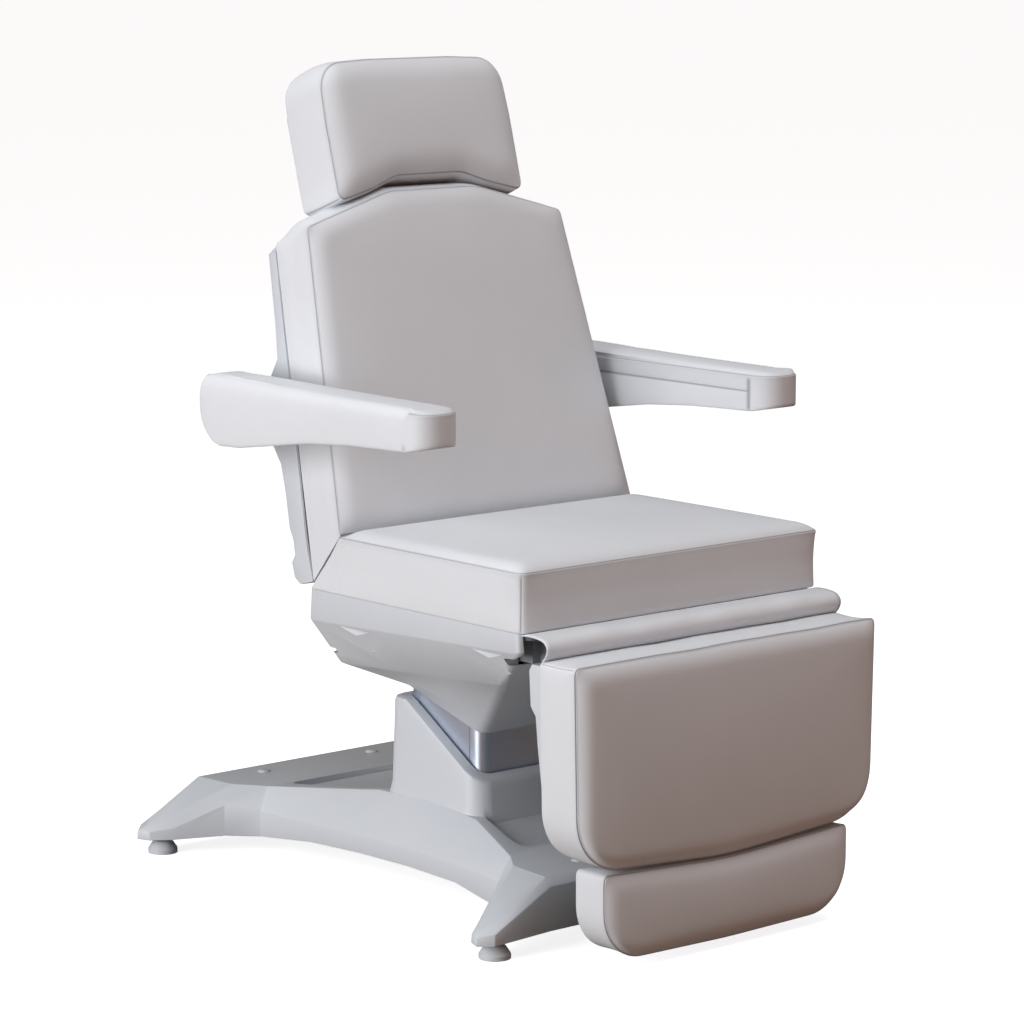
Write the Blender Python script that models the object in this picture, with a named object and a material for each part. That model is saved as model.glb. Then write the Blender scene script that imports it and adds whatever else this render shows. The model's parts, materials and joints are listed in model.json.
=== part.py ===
"""Electric treatment chair on a lifting column.

The chair faces -Y and stands on z = 0. The origin is on the floor under the
column's axis, +X is the patient's left, and all sizes are in metres.
"""

import math

import bmesh
import bpy
from mathutils import Matrix, Vector

# Gap left between two pieces that touch.
GAP = 0.0003

# Seat cushion. Heights are of its seams, and the crown stands above them.
SEAT_HALF = 0.3005
SEAT_FRONT = -0.3925
SEAT_REAR_TOP = 0.0265
SEAT_REAR_BOTTOM = 0.1035
SEAT_TOP = 0.577
SEAT_THICK = 0.0895
SEAT_BOTTOM = SEAT_TOP - SEAT_THICK
SEAT_CROWN = 0.012
SEAT_BOARD_THICK = 0.012

# Back cushion, drawn upright: z is the height along the back, y the depth.
RECLINE = math.radians(15.67)
BACK_FOOT = Vector((0.0, 0.0285, 0.5785))
BACK_HALF_FOOT = 0.2975
BACK_HALF_SHOULDER = 0.2565
BACK_SHOULDER = 0.4726
BACK_TOP_HALF = 0.087
BACK_TOP = 0.5204
BACK_THICK = 0.090
BACK_MITRE = 0.0615
BACK_CROWN = 0.012
BOARD_THICK = 0.008
SHELL_WALL = 0.004

# Headrest, in the same upright frame as the back.
HEAD_HALF = 0.1865
HEAD_CORNER_FOOT = 0.510
HEAD_ARCH = 0.5422
HEAD_ARCH_HALF = 0.066
HEAD_TOP = 0.729
HEAD_THICK = 0.095
HEAD_CROWN = 0.013
HEAD_BAR_DEPTH = 0.1135
HEAD_PIVOT_HEIGHT = 0.536

# Legrest and foot pad, drawn upright in the plane of the photo's rest pose.
LEG_HALF = 0.303
LEG_TOP = 0.457
LEG_LOW = 0.139
LEG_FRONT = -0.5105
LEG_THICK = 0.080
LEG_CROWN = 0.015
FOOT_HALF = 0.247
FOOT_TOP = 0.1325
FOOT_LOW = 0.0145
FOOT_FRONT = -0.5115
FOOT_THICK = 0.064
FOOT_CROWN = 0.013
FOOT_ROD_X = 0.10
FOOT_ROD_Y = -0.4125

# Armrests.
ARM_INNER = 0.3030
ARM_WIDTH = 0.082
ARM_TIP = -0.2685
ARM_REAR = 0.2705
ARM_TOP = 0.808
ARM_REAR_RADIUS = 0.060
HUB_HEIGHT = 0.2176
HUB_DEPTH = 0.1245
HUB_SHAFT_RADIUS = 0.016

# Joint axes, as (y, z) of lines along X.
BACK_HINGE = (0.118, 0.464)
LEG_HINGE = (-0.398, 0.4625)
BACK_LEVER = 0.060
LEG_LEVER = 0.050
BACK_SWING = math.radians(70)
LEG_SWING = math.radians(85)
ACTUATOR_X = 0.175

# Base.
BASE_MIDDLE = 0.0830
BASE_WALL = 0.004
DECK_HEIGHT = 0.110
FOOT_X = 0.299
FOOT_REACH = 0.4145
CAP_X = 0.113
CAP_REACH = 0.388

# Lifting column: half width and half depth of the largest profile.
COLUMN_HALF_X = 0.118
COLUMN_HALF_Y = 0.085
PROFILE_WALL = 0.005
PROFILE_STEP = 0.009
COLUMN_PLATE_LOW = 0.4257
COLUMN_PLATE_HIGH = 0.4357
FRAME_LOW = COLUMN_PLATE_HIGH + GAP
FRAME_HIGH = SEAT_BOTTOM - GAP - SEAT_BOARD_THICK - GAP

FINISHES = {
    "upholstery": ((0.80, 0.80, 0.82), 0.45, 0.0),
    "moulding": ((0.78, 0.79, 0.81), 0.40, 0.0),
    "steel": ((0.30, 0.31, 0.33), 0.45, 0.8),
    "profile": ((0.58, 0.61, 0.66), 0.35, 0.6),
    "plywood": ((0.55, 0.42, 0.28), 0.70, 0.0),
    "polymer": ((0.10, 0.10, 0.11), 0.55, 0.0),
}

# Bodies that move, with the point that their parent empty stands on.
BODY_POINTS = {}
BODY_OF = {}


def clear_scene():
    """Empty the scene."""
    for obj in list(bpy.data.objects):
        bpy.data.objects.remove(obj)


def finish_material(name):
    """Return the material of one finish, made on first use."""
    found = bpy.data.materials.get(name)
    if found:
        return found
    colour, roughness, metallic = FINISHES[name]
    made = bpy.data.materials.new(name)
    made.use_nodes = True
    shader = made.node_tree.nodes["Principled BSDF"]
    shader.inputs["Base Color"].default_value = (*colour, 1.0)
    shader.inputs["Roughness"].default_value = roughness
    shader.inputs["Metallic"].default_value = metallic
    made.diffuse_color = (*colour, 1.0)
    return made


def solid(bm, name="solid"):
    """Turn a bmesh into an object with its faces pointing out."""
    bmesh.ops.remove_doubles(bm, verts=bm.verts, dist=0.00001)
    bmesh.ops.connect_verts_nonplanar(bm, angle_limit=0.0005, faces=bm.faces)
    bmesh.ops.recalc_face_normals(bm, faces=bm.faces)
    mesh = bpy.data.meshes.new(name)
    bm.to_mesh(mesh)
    bm.free()
    obj = bpy.data.objects.new(name, mesh)
    bpy.context.scene.collection.objects.link(obj)
    return obj


def baked(obj):
    """Apply an object's modifiers to its mesh."""
    depsgraph = bpy.context.evaluated_depsgraph_get()
    mesh = bpy.data.meshes.new_from_object(obj.evaluated_get(depsgraph))
    obj.modifiers.clear()
    obj.data = mesh
    return obj


def combine(target, tool, operation):
    """Join or cut the target with the tool, which is used up."""
    modifier = target.modifiers.new("combine", "BOOLEAN")
    modifier.object = tool
    modifier.operation = operation
    modifier.solver = "EXACT"
    baked(target)
    bpy.data.objects.remove(tool)
    return target


def joined(first, *others):
    """Weld solids into the first one."""
    for other in others:
        combine(first, other, "UNION")
    return first


def cut(target, *tools):
    """Cut solids out of the target."""
    for tool in tools:
        combine(target, tool, "DIFFERENCE")
    return target


def rounded(obj, width, segments=2, angle=25.0):
    """Round an object's edges."""
    modifier = obj.modifiers.new("round", "BEVEL")
    modifier.width = width
    modifier.segments = segments
    modifier.limit_method = "ANGLE"
    modifier.angle_limit = math.radians(angle)
    return baked(obj)


def place(obj, name, finish, body, smooth_angle=35.0):
    """Name a finished piece, give it its material and its body."""
    obj.name = name
    obj.data.name = name
    obj.data.materials.clear()
    obj.data.materials.append(finish_material(finish))
    obj.data.shade_smooth()
    obj.data.set_sharp_from_angle(angle=math.radians(smooth_angle))
    BODY_OF[name] = body
    return obj


def loft(rings):
    """Skin closed rings of equal length and cap both ends."""
    bm = bmesh.new()
    rows = []
    for ring in rings:
        rows.append([bm.verts.new(point) for point in ring])
    for low, high in zip(rows, rows[1:]):
        skin_between(bm, low, high)
    bm.faces.new(rows[0])
    bm.faces.new(rows[-1])
    return solid(bm)


def skin_between(bm, low, high):
    """Fill the band between two rings. A bent panel is always split the same way."""
    count = len(low)
    for i in range(count):
        j = (i + 1) % count
        across_panel = high[j].co - low[i].co
        normal = (low[j].co - low[i].co).cross(across_panel)
        if abs((high[i].co - low[i].co).dot(normal.normalized())) < 0.000002:
            bm.faces.new((low[i], low[j], high[j], high[i]))
        else:
            bm.faces.new((low[i], low[j], high[j]))
            bm.faces.new((low[i], high[j], high[i]))


def box(x_span, y_span, z_span):
    """A plain block between the given limits."""
    (x0, x1), (y0, y1), (z0, z1) = x_span, y_span, z_span
    low = [(x0, y0, z0), (x1, y0, z0), (x1, y1, z0), (x0, y1, z0)]
    high = [(x, y, z1) for x, y, _ in low]
    return loft([low, high])


def across(outline, x0, x1):
    """Extrude a (y, z) outline along X."""
    return loft([[(x, y, z) for y, z in outline] for x in (x0, x1)])


def along(outline, y0, y1):
    """Extrude an (x, z) outline along Y."""
    return loft([[(x, y, z) for x, z in outline] for y in (y0, y1)])


def upright(outline, z0, z1):
    """Extrude an (x, y) outline along Z."""
    return loft([[(x, y, z) for x, y in outline] for z in (z0, z1)])


def circle(radius, centre=(0.0, 0.0), sides=24):
    """Points of a circle."""
    points = []
    for i in range(sides):
        turn = 2 * math.pi * i / sides
        points.append((centre[0] + radius * math.cos(turn), centre[1] + radius * math.sin(turn)))
    return points


def turned(profile, centre, sides=24):
    """Turn a (radius, z) profile about a vertical line at the centre."""
    rings = []
    for radius, z in profile:
        rings.append([(x, y, z) for x, y in circle(radius, centre, sides)])
    return loft(rings)


def corner_arc(here, before, after, radius, steps):
    """Points of the arc that rounds one corner of a polygon."""
    half = before.angle(after) / 2
    reach = radius / math.tan(half)
    start = here + before.normalized() * reach
    end = here + after.normalized() * reach
    middle = (before.normalized() + after.normalized()).normalized()
    centre = here + middle * (radius / math.sin(half))
    first = start - centre
    sweep = first.angle_signed(end - centre)
    return [centre + Matrix.Rotation(-sweep * k / steps, 2) @ first for k in range(steps + 1)]


def rounded_outline(corners, steps=4, longest=None, pieces=1):
    """Round a polygon's corners, given as (u, v, radius), and divide its straight sides.

    A side is divided into equal pieces no longer than the longest, or into a set number.
    """
    count = len(corners)
    arcs = []
    for i, (u, v, radius) in enumerate(corners):
        here = Vector((u, v))
        before = Vector(corners[i - 1][:2]) - here
        after = Vector(corners[(i + 1) % count][:2]) - here
        arcs.append(corner_arc(here, before, after, radius, steps))
    points = []
    for i, arc in enumerate(arcs):
        points += arc
        ahead = arcs[(i + 1) % count][0]
        parts = pieces
        if longest is not None:
            parts = max(1, math.ceil((ahead - arc[-1]).length / longest))
        points += [arc[-1].lerp(ahead, k / parts) for k in range(1, parts)]
    return [(p.x, p.y) for p in points]


def mirrored_corners(half):
    """Complete the right half of a polygon, listed from the foot up, with its left half."""
    left = [(-u, v, radius) for u, v, radius in reversed(half) if u > 0]
    return half + left


def inset(outline, distance):
    """Move a closed outline inwards by a small distance."""
    moved = []
    count = len(outline)
    area = sum(Vector(outline[i - 1]).cross(Vector(outline[i])) for i in range(count))
    side = 1.0 if area > 0 else -1.0
    for i in range(count):
        here = Vector(outline[i])
        back = (here - Vector(outline[i - 1])).normalized()
        ahead = (Vector(outline[(i + 1) % count]) - here).normalized()
        normal = Vector((-(back.y + ahead.y), back.x + ahead.x)).normalized() * side
        straight = max(0.4, (1 + back.dot(ahead)) / 2) ** 0.5
        spot = here + normal * (distance / straight)
        moved.append((spot.x, spot.y))
    return moved


def cushion(outline, centre, thick, crown, to_world, draw_in=0.004):
    """A padded form: drawn-in sides, a seam round the front and a crowned face."""
    sides = [(1.0, 0.5), (0.82, 0.75), (0.5, 1.0), (0.18, 0.6), (0.03, 0.0)]
    face = [(0.975, 0.30), (0.92, 0.56), (0.80, 0.80), (0.58, 0.95), (0.28, 1.0)]
    rings = []
    for depth, pull in sides:
        ring = inset(outline, draw_in * pull)
        rings.append([to_world(u, v, depth * thick) for u, v in ring])
    middle = Vector(centre)
    for scale, rise in face:
        ring = [middle.lerp(Vector(spot), scale) for spot in outline]
        rings.append([to_world(p.x, p.y, -rise * crown) for p in ring])
    return loft(rings)


def tilted(obj):
    """Lean a piece that was drawn upright back to the rest angle of the back."""
    obj.data.transform(Matrix.Translation(BACK_FOOT) @ Matrix.Rotation(-RECLINE, 4, "X"))
    return obj


def tilted_point(x, depth, height):
    """World place of a point given in the upright frame of the back."""
    turn = Matrix.Translation(BACK_FOOT) @ Matrix.Rotation(-RECLINE, 4, "X")
    return turn @ Vector((x, depth, height))


def rounded_rectangle(half_x, y0, y1, radius, steps=3, pieces=1):
    """An (x, y) rectangle about x = 0 with round corners."""
    half = [(half_x, y0, radius), (half_x, y1, radius)]
    return rounded_outline(mirrored_corners(half), steps, None, pieces)


# Base cover, its frame and what stands on it.

# One leg, from the cross bar's end round the tip to the side beam. Each row has
# (x, reach from the base's middle, height) of the skirt, the crease and the ridge.
LEG_LINES = [
    ((0.215, 0.4425, 0.030), (0.215, 0.4425, 0.098), (0.215, 0.4300, 0.110)),
    ((0.322, 0.4425, 0.026), (0.322, 0.4425, 0.044), (0.312, 0.4300, 0.056)),
    ((0.343, 0.4240, 0.026), (0.343, 0.4230, 0.040), (0.329, 0.4160, 0.049)),
    ((0.334, 0.4020, 0.026), (0.334, 0.4030, 0.040), (0.323, 0.4060, 0.050)),
    ((0.302, 0.3790, 0.026), (0.302, 0.3800, 0.046), (0.295, 0.3920, 0.064)),
    ((0.232, 0.3380, 0.030), (0.231, 0.3390, 0.080), (0.207, 0.3490, 0.110)),
    ((0.190, 0.2950, 0.030), (0.190, 0.2950, 0.072), (0.172, 0.3010, 0.110)),
]
BAR_LINES = ((0.0, 0.4425, 0.030), (0.0, 0.4425, 0.098), (0.0, 0.4300, 0.110))

# The side beam between the legs: (y, skirt height, crease height, ridge x, ridge height).
BEAM_LINES = [
    (-0.110, 0.050, 0.080, 0.148, 0.142),
    (0.005, 0.053, 0.083, 0.145, 0.150),
    (0.125, 0.051, 0.080, 0.147, 0.146),
    (0.250, 0.045, 0.076, 0.157, 0.128),
]
BEAM_X = 0.190

COLLAR_RINGS = [
    (0.090, 0.158, -0.121, 0.140, 0.040),
    (0.140, 0.1465, -0.1105, 0.1250, 0.034),
    (0.165, 0.1425, -0.1065, 0.1190, 0.032),
    (0.340, 0.1395, -0.1040, 0.1120, 0.030),
]
RIM_HIGH = 0.300
RIM_BEND = 0.069
RIM_SLOPE = 0.615
COLLAR_LIP = 0.016
COLLAR_CLEARANCE = 0.004


def base_half_lines():
    """Skirt, crease and ridge points of the base's +X half, from front to rear."""
    def at(line, side):
        return [Vector((x, BASE_MIDDLE + side * reach, z)) for x, reach, z in line]

    rows = [at(BAR_LINES, -1)]
    rows += [at(line, -1) for line in LEG_LINES]
    for y, low, crease, ridge_x, ridge in BEAM_LINES:
        rows.append([Vector((BEAM_X, y, low)), Vector((BEAM_X, y, crease)), Vector((ridge_x, y, ridge))])
    rows += [at(line, 1) for line in reversed(LEG_LINES)]
    rows.append(at(BAR_LINES, 1))
    return rows


def base_body(wall, floor):
    """The base's body. A wall moves it inwards and floor, if given, lengthens its skirt."""
    half = base_half_lines()
    other = [[Vector((-p.x, p.y, p.z)) for p in row] for row in reversed(half[1:-1])]
    loops = list(zip(*(half + other)))
    bm = bmesh.new()
    made = []
    for level, loop in enumerate(loops):
        plan = inset([(p.x, p.y) for p in loop], wall) if wall else [(p.x, p.y) for p in loop]
        drop = wall if level else 0.0
        heights = [floor if floor is not None and level == 0 else p.z - drop for p in loop]
        made.append([bm.verts.new((x, y, z)) for (x, y), z in zip(plan, heights)])
    for low, high in zip(made, made[1:]):
        skin_between(bm, low, high)
    for loop in (made[0], made[-1]):
        close_base_loop(bm, loop, len(half))
    return solid(bm)


def close_base_loop(bm, loop, length):
    """Close a loop round the base: four legs, two cross bars and the strips between them."""
    last = length - 1
    legs = len(LEG_LINES)
    twin = [loop[i] if i in (0, last) else loop[len(loop) - i] for i in range(length)]
    for side in (loop, twin):
        bm.faces.new(side[1:legs])
        bm.faces.new(side[last - legs + 1:last])
    front = [0, 1, legs - 1, legs]
    bm.faces.new([loop[i] for i in front] + [twin[i] for i in reversed(front[1:])])
    rear = [last - i for i in front]
    bm.faces.new([loop[i] for i in rear] + [twin[i] for i in reversed(rear[1:])])
    for i in range(legs, last - legs):
        bm.faces.new((loop[i], loop[i + 1], twin[i + 1], twin[i]))


def above_rim(drop):
    """What the collar's slanted rim cuts away, lowered by a drop."""
    low_y = -0.25
    outline = [
        (low_y, RIM_HIGH - (RIM_BEND - low_y) * RIM_SLOPE - drop),
        (RIM_BEND, RIM_HIGH - drop),
        (0.30, RIM_HIGH - drop),
        (0.30, 0.60),
        (low_y, 0.60),
    ]
    return across(outline, -0.3, 0.3)


def collar(wall):
    """The collar round the column, without its bore."""
    rings = []
    for z, half_x, y0, y1, radius in COLLAR_RINGS:
        plan = rounded_rectangle(half_x - wall, y0 + wall, y1 - wall, radius - wall)
        rings.append([(x, y, z) for x, y in plan])
    return loft(rings)


def deck_panel(y0, y1, z0, z1, half_front, half_rear):
    """A shallow panel sunk in the deck between the collar and a cross bar."""
    top = 0.25
    radius = 0.02
    half = [(half_front, y0, radius), (half_rear, y1, radius)]
    plan = rounded_outline(mirrored_corners(half), 2)
    low = [(x, y, z0 + (z1 - z0) * (y - y0) / (y1 - y0)) for x, y in plan]
    return loft([low, [(x, y, top) for x, y in plan]])


def build_base_cover():
    """Moulded cover with four legs, a waisted deck and the slanted collar."""
    cover = rounded(base_body(0.0, None), 0.005, 2)
    cut(cover, deck_panel(0.110, 0.372, 0.138, 0.102, 0.128, 0.140))
    cut(cover, deck_panel(-0.205, -0.095, 0.103, 0.136, 0.140, 0.128))
    neck = rounded(cut(collar(0.0), above_rim(0.0)), 0.006, 2, 30)
    joined(cover, neck)
    hollow = base_body(BASE_WALL, -0.02)
    cut(hollow, deck_panel(0.106, 0.376, 0.138 - BASE_WALL, 0.102 - BASE_WALL, 0.132, 0.144))
    cut(hollow, deck_panel(-0.209, -0.091, 0.103 - BASE_WALL, 0.136 - BASE_WALL, 0.144, 0.132))
    joined(hollow, cut(collar(BASE_WALL), above_rim(COLLAR_LIP)))
    cut(cover, hollow)
    clear_x = COLUMN_HALF_X + COLLAR_CLEARANCE
    clear_y = COLUMN_HALF_Y + COLLAR_CLEARANCE
    cut(cover, upright(rounded_rectangle(clear_x, -clear_y, clear_y, 0.022), 0.12, 0.40))
    place(cover, "base_cover", "moulding", "base", 30)


# The steel frame under the cover is a pan of folded channel, open below, with a
# flat tongue over each foot.
BAR_HALF = 0.235
BAR_NEAR = 0.378
BAR_FAR = 0.426
BAR_LOW = 0.036
FRAME_SKIN = 0.004
BASE_FRAME_HIGH = 0.060
RAIL_X = (0.120, 0.165)
RAIL_LOW = 0.046
PEDESTAL_TOP = 0.066
TONGUE_TOP = 0.0465
TONGUE = [(0.225, 0.386), (0.290, 0.3925), (0.308, 0.405), (0.311, 0.418), (0.302, 0.4275), (0.225, 0.4255)]


def base_frame_blocks(skin):
    """The frame's bars and rails as overlapping blocks, shrunk by a skin."""
    drop = 0.02 if skin else 0.0
    high = BASE_FRAME_HIGH - skin
    blocks = []
    for side in (-1, 1):
        edges = sorted(BASE_MIDDLE + side * reach for reach in (BAR_NEAR, BAR_FAR))
        span = (edges[0] + skin, edges[1] - skin)
        blocks.append(box((-BAR_HALF + skin, BAR_HALF - skin), span, (BAR_LOW - drop, high)))
    for side in (-1, 1):
        edges = sorted(side * x for x in RAIL_X)
        run = (BASE_MIDDLE - BAR_NEAR - 0.01, BASE_MIDDLE + BAR_NEAR + 0.01)
        blocks.append(box((edges[0] + skin, edges[1] - skin), run, (RAIL_LOW - drop, high)))
    return blocks


def build_base_frame():
    """Two cross bars, two rails, four tongues and the plate that the column is bolted to."""
    frame = cut(joined(*base_frame_blocks(0.0)), joined(*base_frame_blocks(FRAME_SKIN)))
    joined(frame, box((-0.150, 0.150), (-0.105, 0.105), (BASE_FRAME_HIGH - 0.002, PEDESTAL_TOP)))
    for x_sign in (-1, 1):
        for y_sign in (-1, 1):
            outline = [(x_sign * x, BASE_MIDDLE + y_sign * reach) for x, reach in TONGUE]
            joined(frame, upright(outline, TONGUE_TOP - FRAME_SKIN, TONGUE_TOP))
            hole = circle(0.0056, (x_sign * FOOT_X, BASE_MIDDLE + y_sign * FOOT_REACH), 16)
            cut(frame, upright(hole, 0.0, 0.1))
    place(frame, "base_frame", "steel", "base")


def build_feet():
    """Levelling feet: a conical pad, a lock nut and a stem through the cross bar."""
    stem_top = TONGUE_TOP - 0.0005
    nut_top = TONGUE_TOP - FRAME_SKIN - GAP
    profile = [
        (0.0240, 0.0), (0.0240, 0.007), (0.0175, 0.017), (0.0140, 0.020), (0.0053, 0.0205),
        (0.0053, 0.0325), (0.0095, 0.0330), (0.0095, nut_top), (0.0053, nut_top + 0.0001),
        (0.0053, stem_top),
    ]
    for end, side in (("front", -1), ("rear", 1)):
        for hand, x in (("left", FOOT_X), ("right", -FOOT_X)):
            foot = turned(profile, (x, BASE_MIDDLE + side * FOOT_REACH), 16)
            place(foot, f"levelling_foot_{end}_{hand}", "moulding", "base")


def build_screw_caps():
    """Four low domes over the screws that hold the cover."""
    bottom = DECK_HEIGHT + GAP
    profile = [(0.0105, bottom), (0.0105, bottom + 0.001), (0.0070, bottom + 0.0028)]
    for end, side in (("front", -1), ("rear", 1)):
        for hand, x in (("left", CAP_X), ("right", -CAP_X)):
            cap = turned(profile, (x, BASE_MIDDLE + side * CAP_REACH), 12)
            place(cap, f"base_screw_cap_{end}_{hand}", "moulding", "base")


def column_tube(stage, z0, z1):
    """One rectangular profile of the column. Stage 0 is the largest."""
    half_x = COLUMN_HALF_X - stage * PROFILE_STEP
    half_y = COLUMN_HALF_Y - stage * PROFILE_STEP
    outer = upright(rounded_rectangle(half_x, -half_y, half_y, 0.014 - 0.003 * stage), z0, z1)
    inner_x = half_x - PROFILE_WALL
    inner_y = half_y - PROFILE_WALL
    bore = rounded_rectangle(inner_x, -inner_y, inner_y, 0.009 - 0.003 * stage)
    return cut(outer, upright(bore, z0 - 0.01, z1 + 0.01))


def glide_ring(stage, z0, z1):
    """Polymer ring round a stage, on which the next larger profile runs."""
    half_x = COLUMN_HALF_X - stage * PROFILE_STEP + GAP
    half_y = COLUMN_HALF_Y - stage * PROFILE_STEP + GAP
    thick = PROFILE_STEP - PROFILE_WALL - 2 * GAP
    bore = rounded_rectangle(half_x, -half_y, half_y, 0.014 - 0.003 * stage)
    ring = rounded_rectangle(half_x + thick, -half_y - thick, half_y + thick, 0.015 - 0.003 * stage)
    return cut(upright(ring, z0, z1), upright(bore, z0 - 0.01, z1 + 0.01))


INNER_SPAN = (PEDESTAL_TOP + GAP, 0.305)
MIDDLE_SPAN = (0.070, 0.330)
OUTER_SPAN = (0.074, COLUMN_PLATE_LOW - GAP)
SCREW_RADIUS = 0.009
SLEEVE_RADIUS = 0.014
LIFT_TUBE_RADIUS = 0.019
GROOVE_INSET = 0.025


def build_column():
    """Three telescopic profiles with their glides, and the lift drive inside."""
    place(column_tube(2, *INNER_SPAN), "column_inner", "profile", "base")
    place(glide_ring(2, 0.262, 0.300), "column_glide_lower", "polymer", "base")
    place(column_tube(1, *MIDDLE_SPAN), "column_middle", "profile", "column_middle")
    place(glide_ring(1, 0.288, 0.326), "column_glide_upper", "polymer", "column_middle")
    outer = column_tube(0, *OUTER_SPAN)
    depth = 0.0012
    width = 0.0012
    for x in (-1, 1):
        for y in (-1, 1):
            edge_x = x * COLUMN_HALF_X
            edge_y = y * COLUMN_HALF_Y
            line_x = x * (COLUMN_HALF_X - GROOVE_INSET)
            line_y = y * (COLUMN_HALF_Y - GROOVE_INSET)
            groove = box((edge_x - depth, edge_x + depth), (line_y - width, line_y + width), (0.0, 0.5))
            cut(outer, groove)
            groove = box((line_x - width, line_x + width), (edge_y - depth, edge_y + depth), (0.0, 0.5))
            cut(outer, groove)
    place(outer, "column_outer", "profile", "seat")
    low = PEDESTAL_TOP + GAP
    motor = turned([(0.036, low), (0.036, 0.100), (0.030, 0.106), (0.016, 0.110)], (0.0, 0.0))
    joined(motor, box((0.0, 0.075), (-0.028, 0.028), (low, 0.092)))
    place(motor, "lift_motor", "polymer", "base")
    screw = [(SCREW_RADIUS, 0.110 + GAP), (SCREW_RADIUS, 0.298)]
    place(turned(screw, (0.0, 0.0)), "lift_screw", "steel", "base")
    sleeve = turned([(SLEEVE_RADIUS, 0.118), (SLEEVE_RADIUS, 0.330)], (0.0, 0.0))
    cut(sleeve, turned([(SCREW_RADIUS + GAP, 0.1), (SCREW_RADIUS + GAP, 0.4)], (0.0, 0.0)))
    place(sleeve, "lift_sleeve", "steel", "column_middle")
    top = COLUMN_PLATE_LOW - GAP
    tube = turned([(LIFT_TUBE_RADIUS, 0.126), (LIFT_TUBE_RADIUS, top)], (0.0, 0.0))
    cut(tube, turned([(SLEEVE_RADIUS + GAP, 0.1), (SLEEVE_RADIUS + GAP, top - 0.01)], (0.0, 0.0)))
    place(tube, "lift_tube", "steel", "seat")
    plate = box((-0.150, 0.150), (-0.095, 0.095), (COLUMN_PLATE_LOW, COLUMN_PLATE_HIGH))
    place(rounded(plate, 0.003, 1), "column_plate", "steel", "seat")


# Seat: under-cover, frame, shafts, board, pad and what is carried inside.

# Rings of the under-cover: half width, front y, rear y, corner radius, front z, rear z.
UNDER_RINGS = [
    (0.2935, -0.3795, 0.1105, 0.009, SEAT_BOTTOM - GAP, SEAT_BOTTOM - GAP),
    (0.2955, -0.3820, 0.1120, 0.009, 0.459, 0.440),
    (0.2935, -0.3790, 0.1110, 0.009, 0.455, 0.436),
    (0.2440, -0.2870, 0.1040, 0.011, 0.391, 0.366),
    (0.2340, -0.2760, 0.0990, 0.014, 0.386, 0.361),
    (0.1500, -0.1395, 0.0930, 0.016, 0.2975, 0.3385),
]
NECK_HALF_X = 0.1240
NECK_SPAN = (-0.0940, 0.0880)
NECK_FRONT = 0.268
NECK_REAR = 0.320
UNDER_WALL = 0.004
POCKET_SPANS = ((-0.032, 0.038), (-0.339, -0.271))
POCKET_HEIGHT = 0.038
POCKET_BACK = 0.262
POCKET_FACE = 0.2935
POCKET_TIP_X = 0.2565
POCKET_TIP_SHIFT = 0.020


def tilted_ring(plan, y0, y1, front, rear):
    """Give a plan outline heights that run from front to rear."""
    return [(x, y, front + (rear - front) * (y - y0) / (y1 - y0)) for x, y in plan]


def under_shape(wall):
    """The under-cover's outside, or with a wall its hollow, which is open above and below."""
    rings = []
    for half_x, y0, y1, radius, front, rear in UNDER_RINGS:
        plan = rounded_rectangle(half_x - wall, y0 + wall, y1 - wall, radius - wall, 3, 3)
        rings.append(tilted_ring(plan, y0 + wall, y1 - wall, front, rear))
    if wall:
        bore_x = COLUMN_HALF_X + GAP
        bore_y = COLUMN_HALF_Y + GAP
        rings[0] = [(x, y, z + 0.02) for x, y, z in rings[0]]
        rings[-3:] = [[(x, y, z + wall) for x, y, z in ring] for ring in rings[-3:]]
        plan = rounded_rectangle(bore_x, -bore_y, bore_y, 0.014, 3, 3)
        rings.append(tilted_ring(plan, -bore_y, bore_y, 0.290, 0.334))
        rings.append(tilted_ring(plan, -bore_y, bore_y, 0.220, 0.220))
    else:
        plan = rounded_rectangle(NECK_HALF_X, *NECK_SPAN, 0.016, 3, 3)
        rings.append(tilted_ring(plan, *NECK_SPAN, NECK_FRONT, NECK_REAR))
    return loft(rings)


def ridge_height(y):
    """Height of the lower line of the under-cover's ridge."""
    _, y0, y1, _, front, rear = UNDER_RINGS[2]
    return front + (rear - front) * (y - y0) / (y1 - y0)


def finger_pockets(wall):
    """Scooped hollows under the side ridge, deep at their front wall, grown by a wall."""
    tools = []
    for front, rear in POCKET_SPANS:
        top = ridge_height(rear) - 0.0005
        for sign in (-1, 1):
            out = sign * 0.33
            deep = sign * (POCKET_BACK - wall)
            tip = sign * (POCKET_TIP_X - wall)
            ahead = front - wall
            behind = front + (rear - front) * (0.33 - POCKET_BACK) / (POCKET_FACE - POCKET_BACK) + 2 * wall
            tip_y = front + POCKET_TIP_SHIFT - wall
            low_z = top - POCKET_HEIGHT - wall
            high_z = top + wall
            low = [(tip, tip_y, low_z), (out, tip_y, low_z), (out, tip_y + 0.110 + 2 * wall, low_z)]
            high = [(deep, ahead, high_z), (out, ahead, high_z), (out, behind, high_z)]
            tools.append(loft([low, high]))
    return tools


def build_under_cover():
    """Moulded tub under the seat that narrows to the column's head."""
    cover = cut(under_shape(0.0), *finger_pockets(0.0))
    hollow = cut(under_shape(UNDER_WALL), *finger_pockets(UNDER_WALL))
    cut(cover, hollow)
    cut(cover, box((-0.262, 0.262), (0.088, 0.13), (0.384, 0.52)))
    cut(cover, box((-0.2865, 0.2865), (-0.42, -0.335), (0.432, 0.52)))
    slot = (-ACTUATOR_X - 0.022, -ACTUATOR_X + 0.022)
    cut(cover, box(slot, (-0.42, -0.285), (0.394, 0.47)))
    place(cover, "seat_under_cover", "moulding", "seat", 30)


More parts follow.
